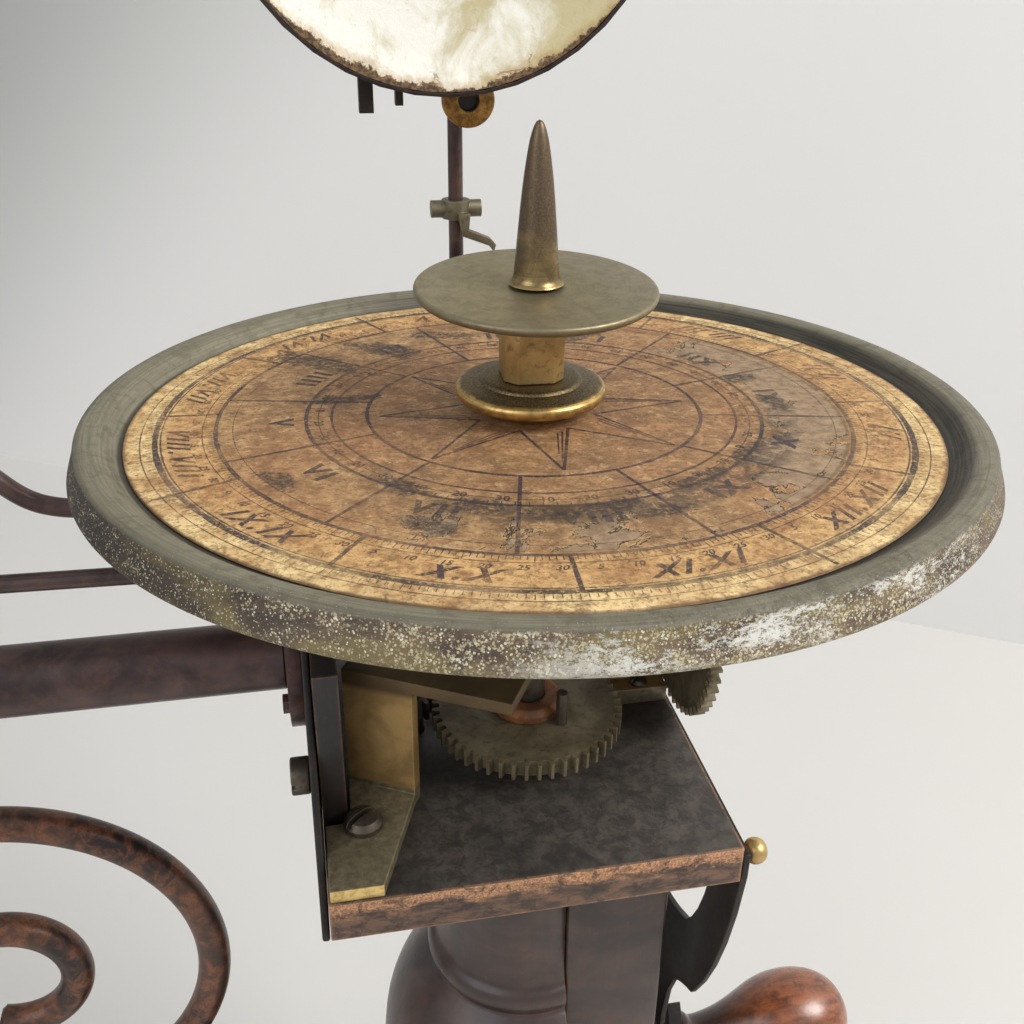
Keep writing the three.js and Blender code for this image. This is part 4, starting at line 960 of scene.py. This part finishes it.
# ---------- wood ----------
def build_wood():
    column = rounded([
        (34, -295.9), (35.4, -295), (36, -292.6), (36, -287.4), (34.8, -285), (32, -283), (29.6, -276),
        (28.8, -262), (28.5, -245), (28.8, -232), (30.6, -220), (33.8, -207), (36.8, -196), (37.5, -187),
        (36.4, -176), (33.6, -167), (29.6, -160.2), (26, -156), (24.4, -154.4),
    ], 3)
    bead = [(24.1, -153.8), (24.4, -152.8), (24.9, -151.2), (24.8, -149.6), (24.2, -148), (23.3, -147)]
    neck = [(22.7, -146.2), (21.9, -142.6), (21.3, -136), (20.9, -122), (20.6, -108), (20.5, -97.5)]
    column += rounded(bead, 3) + rounded(neck, 3)
    column += [(4.6, -97.5), (4.6, -229), (21.9, -229), (21.9, -295.9)]
    bm = bmesh.new()
    add_lathe(bm, column, 128)
    body = add_object("column_helper", to_mesh("column_look", bm))
    bm = bmesh.new()
    add_lathe(bm, [(0, 5), (4, 5), (4, 60), (0, 60)], 48, Matrix.Translation((0, 0, -241)) @ ALONG_X)
    hole = add_object("hole_helper", to_mesh("hole", bm))
    bm = bmesh.new()
    add_box(bm, (6.2, -60, -200.3), (60, 60, -90), 0)
    room = add_object("room_helper", to_mesh("room", bm))
    for cutter in (hole, room):
        modifier = body.modifiers.new("cut", "BOOLEAN")
        modifier.object = cutter
        modifier.operation = "DIFFERENCE"
    mesh = baked(body)
    for helper in (hole, room):
        bpy.data.objects.remove(helper)
    add_piece("column_look", mesh, "column", 40)
    soften("pilaster", 0.8)
    soften("platform", 0.7)
    soften("end_board", 0.9)
    base = [(0, -339.9)] + rounded([
        (91, -339.9), (93, -339.3), (94.8, -337.4), (95, -334.6), (93.4, -332), (90, -330.5), (87.6, -328.6),
        (84.4, -326), (78, -323.9), (70, -322), (63, -319.4), (57.4, -315.6), (52.6, -310.6), (49, -306),
        (47.4, -302.6), (46, -300.2),
    ])
    lathe_piece("base", base + [(0, -300.05)], 192)
    handle = rounded([
        (5.9, 48), (6.5, 48.5), (6.6, 49.4), (6.5, 50.3), (5.8, 51.1), (5.35, 51.9), (5.4, 54), (5.9, 57),
        (6.9, 61), (8.4, 65), (10.2, 69), (12, 73), (13.4, 78), (13.9, 83), (13.5, 88), (12, 92.8),
        (9.2, 96.8), (5.4, 99.2), (2, 99.9),
    ])
    handle += [(0, 100), (0, 67.2), (2.3, 67.2), (2.3, 48)]
    turn = Matrix.Translation((0, 0, CRANK_HEIGHT)) @ ALONG_X
    lathe_piece("crank_handle", handle, 96, turn)


# ---------- rods, tube and scroll ----------
def scroll_path(steps):
    """Down from the arm, round one wide turn and in to a curl, in the arm's own plane."""
    start_x, start_z, centre_x, centre_z, wide, tight = -205, -75.2, -130, -151, 50, 16.3
    lead = 0.2
    path = []
    for k in range(steps + 1):
        t = k / steps
        if t < lead:
            share = t / lead
            sweep = share * share * (3 - 2 * share)
            x = start_x + (centre_x - start_x) * share
            z = start_z + (centre_z + wide - start_z) * sweep
        else:
            half_turns = (t - lead) / (1 - lead) * 3.1
            angle = pi / 2 - half_turns * pi
            share = min(1, max(0, (half_turns - 0.7) / 1.3))
            radius = wide + (tight - wide) * share * share * (3 - 2 * share)
            x, z = centre_x + radius * cos(angle), centre_z + radius * sin(angle)
        path.append((x, GLOBE[1], z))
    return path


def build_rods():
    bm = bmesh.new()
    add_tube(bm, scroll_path(240), 4.1, 32)
    tube_axis = Matrix.Translation((0, GLOBE[1], -62)) @ ALONG_X
    clip = [(8.2, -209), (9.8, -209), (10.2, -208.6), (10.2, -201.4), (9.8, -201), (8.2, -201)]
    add_lathe(bm, clip, 64, tube_axis)
    add_box(bm, (-208, 6, -78), (-201.5, 12, -71.8), 0.5)
    add_piece("scroll_look", to_mesh("scroll", bm), "scroll_bracket")

    outer, inner = 7.9, 5.8
    profile = [(inner, -209.6), (outer - 0.4, -209.6), (outer, -209.2), (outer, -160), (outer, -110),
               (outer, -54.7), (outer - 0.4, -54.3), (inner, -54.3)]
    lathe_piece("arm_tube", profile, 96, tube_axis)

    low, high, post_x, rod_y = -26.5, 138, -22, 20
    above_globe = Matrix.Translation((*GLOBE[:2], 0))
    bm = bmesh.new()
    add_tube(bm, through([
        (post_x, rod_y, low), (-50, rod_y, low), (-78, rod_y, low), (-98, rod_y, low),
        (-109, rod_y, low + 6.5), (-118, rod_y, low + 22), (-121, rod_y, 30), (-124, rod_y, 80),
        (-135, 18, high - 18), (-158, 15, high - 4), (-200, 11, high), (*GLOBE[:2], high),
    ], 180), 2.1, 20)
    add_lathe(bm, [(0, -54.4), (3, -54.4), (3, low + 2.4), (2.4, low + 3), (0, low + 3)], 40,
              Matrix.Translation((post_x, rod_y, 0)))
    add_lathe(bm, [(0, 125.8), (2.4, 125.8), (2.4, high + 1.9), (1.9, high + 2.4), (0, high + 2.4)], 40,
              above_globe)
    add_piece("ring_rod_look", to_mesh("ring_rod", bm), "ring_rod")

    bm = bmesh.new()
    add_tube(bm, through([
        (0, -4.5, -11.5), (0, -20, -11.5), (0, -36, -10.5), (0, -44, -4), (0, -47, 12), (0, -47, 40),
        (0, -47, 84.6),
    ], 90), 1.5, 16)
    add_lathe(bm, [(3.6, -15.4), (6, -15.4), (6.4, -15), (6.4, -8.4), (6, -8), (3.6, -8)], 64)
    bm.transform(Matrix.Translation(above_globe.translation * MM))
    add_piece("moon_arm_look", to_mesh("moon_arm", bm), "moon_arm")


# ---------- globe, moon and mirror ----------
def build_balls():
    tilt = Matrix.Translation(GLOBE) @ Matrix.Rotation(-GLOBE_TILT, 4, "X")
    bore = 1.7
    start = asin(bore / GLOBE_RADIUS)
    outline = []
    for k in range(65):
        angle = start + (pi - 2 * start) * k / 64
        outline.append((GLOBE_RADIUS * sin(angle), -GLOBE_RADIUS * cos(angle)))
    lathe_piece("globe", outline, 128, tilt)
    radius, reach = 7, 47
    outline = [(radius * sin(pi * k / 32), -radius * cos(pi * k / 32)) for k in range(33)]
    lathe_piece("moon_ball", outline, 64, Matrix.Translation((GLOBE[0], GLOBE[1] - reach, GLOBE[2])))


def build_mirror():
    """The dished glass, with a thin edge."""
    glass = [(0, 1.6)] + rounded([(12, 1.4), (24, 0.75), (36, -0.45), (46, -2), (53, -3.55), (56.3, -4.6)])
    glass += [(56.4, -4.3), (56.2, -3.5)]
    glass += rounded([(53, -2.4), (46, -0.7), (36, 0.75), (24, 1.95), (12, 2.6)])
    lathe_piece("mirror_glass", glass + [(0, 2.8)], 192, Matrix.Translation(MIRROR) @ ALONG_Y)


# ---------- everything else keeps its CAD shape with rounded edges ----------
SOFTENED = {
    "bridge": 0.45, "bridge_screw_front": 0.25, "bridge_screw_back": 0.25, "side_plate": 0.4,
    "side_screw": 0.4, "tube_flange": 0.4, "crank_hanger": 0.3, "shaft_block": 0.4, "sun_wheel_collet": 0.3,
    "mirror_back": 0.2, "arm_head": 0.5, "crank_arm": 0.5, "reflector_arm": 0.5, "rod_stop": 0.3,
    "day_night_ring": 0.4,
}


def build_eye():
    """The brass eye on the reflector's rod, with a blind hole that its look paints dark as painted shade."""
    outline = [(0, -3.6), (2.5, -3.6), (2.7, -3.8), (2.7, -5.3), (3, -5.6)] + rounded([
        (6.2, -5.6), (6.8, -5.4), (7, -4.9), (7, -3.1), (6.8, -2.6), (6.2, -2.4),
    ], 3)
    lathe_piece("reflector_eye", outline + [(0, -2.4)], 64, Matrix.Translation(EYE) @ ALONG_Y)


def build_ball_screws():
    outline = [(0, 0), (1.5, 0)] + rounded([
        (1.7, 0.25), (2.3, 0.65), (2.75, 1.3), (2.92, 2.2), (2.75, 3.2), (2.2, 4.1), (1.4, 4.6), (0.7, 4.78),
    ], 3)
    for node, y in (("ball_screw_front", -39.2), ("ball_screw_back", 39.2)):
        turn = Matrix.Translation((40.4, y, -92.6)) @ ALONG_X
        lathe_piece(node, outline + [(0, 4.8)], 48, turn)


# ---------- stage, light and camera ----------
def stage_surface(name, corners, color, left_shade_tone, see_through_back):
    """A plain sheet of the studio, with painted shade that darkens it to `left_shade_tone` towards the left.
    """
    g = Graph(name)
    mottle = g.noise(0.004, 3, 0.5)
    # Painted shade: the sheet darkens towards the left.
    left = g.step(g.plus(g.x, g.z, -0.9), 60, -330)
    tone = g.tint(g.mix(left, color, left_shade_tone), mottle, 0.08, (255, 255, 255))
    material = g.done(tone, 0.75, 0.0, g.bump(g.noise(0.6, 3, 0.5), 0.02, 0.2))
    if see_through_back:
        back = g.node("ShaderNodeNewGeometry").outputs["Backfacing"]
        clear = g.node("ShaderNodeBsdfTransparent")
        both = g.node("ShaderNodeMixShader")
        g.feed(both.inputs[0], back)
        g.feed(both.inputs[1], g.surface.outputs[0])
        g.feed(both.inputs[2], clear.outputs[0])
        g.feed(g.output.inputs["Surface"], both.outputs[0])
    mesh = bpy.data.meshes.new(name)
    mesh.from_pydata([Vector(c) for c in corners], [], [list(range(len(corners)))])
    mesh.materials.append(material)
    add_object(name, mesh)


def area_light(name, where, target, size, power, color):
    data = bpy.data.lights.new(name, "AREA")
    data.shape = "DISK"
    data.size = size
    data.energy = power
    data.color = color
    lamp = add_object(name, data)
    lamp.location = where
    lamp.rotation_euler = (Vector(target) - Vector(where)).to_track_quat("-Z", "Y").to_euler()


def build_stage():
    table = [(-6, -6, 0), (6, -6, 0), (6, 6, 0), (-6, 6, 0)]
    stage_surface("table_top", table, (212, 210, 205), (206, 205, 200), False)
    left, along = Vector((-0.322, 0.782, 0)), Vector((0.8595, -0.5111, 0))
    a, b = left - along * 3.2, left + along * 4
    up = Vector((0, 0, 2.2))
    stage_surface("wall", [a, b, b + up, a + up], (230, 229, 225), (168, 169, 164), True)
    world = bpy.data.worlds.new("studio")
    world.use_nodes = True
    world.node_tree.nodes["Background"].inputs[0].default_value = (0.93, 0.94, 1, 1)
    world.node_tree.nodes["Background"].inputs[1].default_value = 0.62
    bpy.context.scene.world = world
    area_light("window", (1.1, -0.7, 1.5), (0, 0, 0.33), 0.9, 26, (1, 0.98, 0.95))
    area_light("fill", (-1.3, -0.9, 1.2), (0, 0, 0.3), 1.4, 9, (0.95, 0.97, 1))
    bpy.context.scene.view_settings.view_transform = "Standard"


def build_camera():
    yaw, pitch, roll = 0.2, 0.48, 0.013
    ahead = Vector((sin(yaw) * cos(pitch), cos(yaw) * cos(pitch), -sin(pitch)))
    right = Vector((cos(yaw), -sin(yaw), 0))
    up = right.cross(ahead)
    right, up = right * cos(roll) + up * sin(roll), up * cos(roll) - right * sin(roll)
    data = bpy.data.cameras.new("camera")
    data.sensor_width = 36
    data.lens = 38.76
    data.clip_start = 0.01
    camera = add_object("camera", data)
    turn = Matrix((right, up, -ahead)).transposed().to_4x4()
    camera.matrix_world = Matrix.Translation(place((-45.46, -203.667, 82.514))) @ turn
    bpy.context.scene.camera = camera


build_dish()
build_card()
build_ink()
build_candle_holder()
build_wood()
build_rods()
build_balls()
build_mirror()
build_eye()
build_ball_screws()
for softened, edge in SOFTENED.items():
    soften(softened, edge)
build_stage()
build_camera()
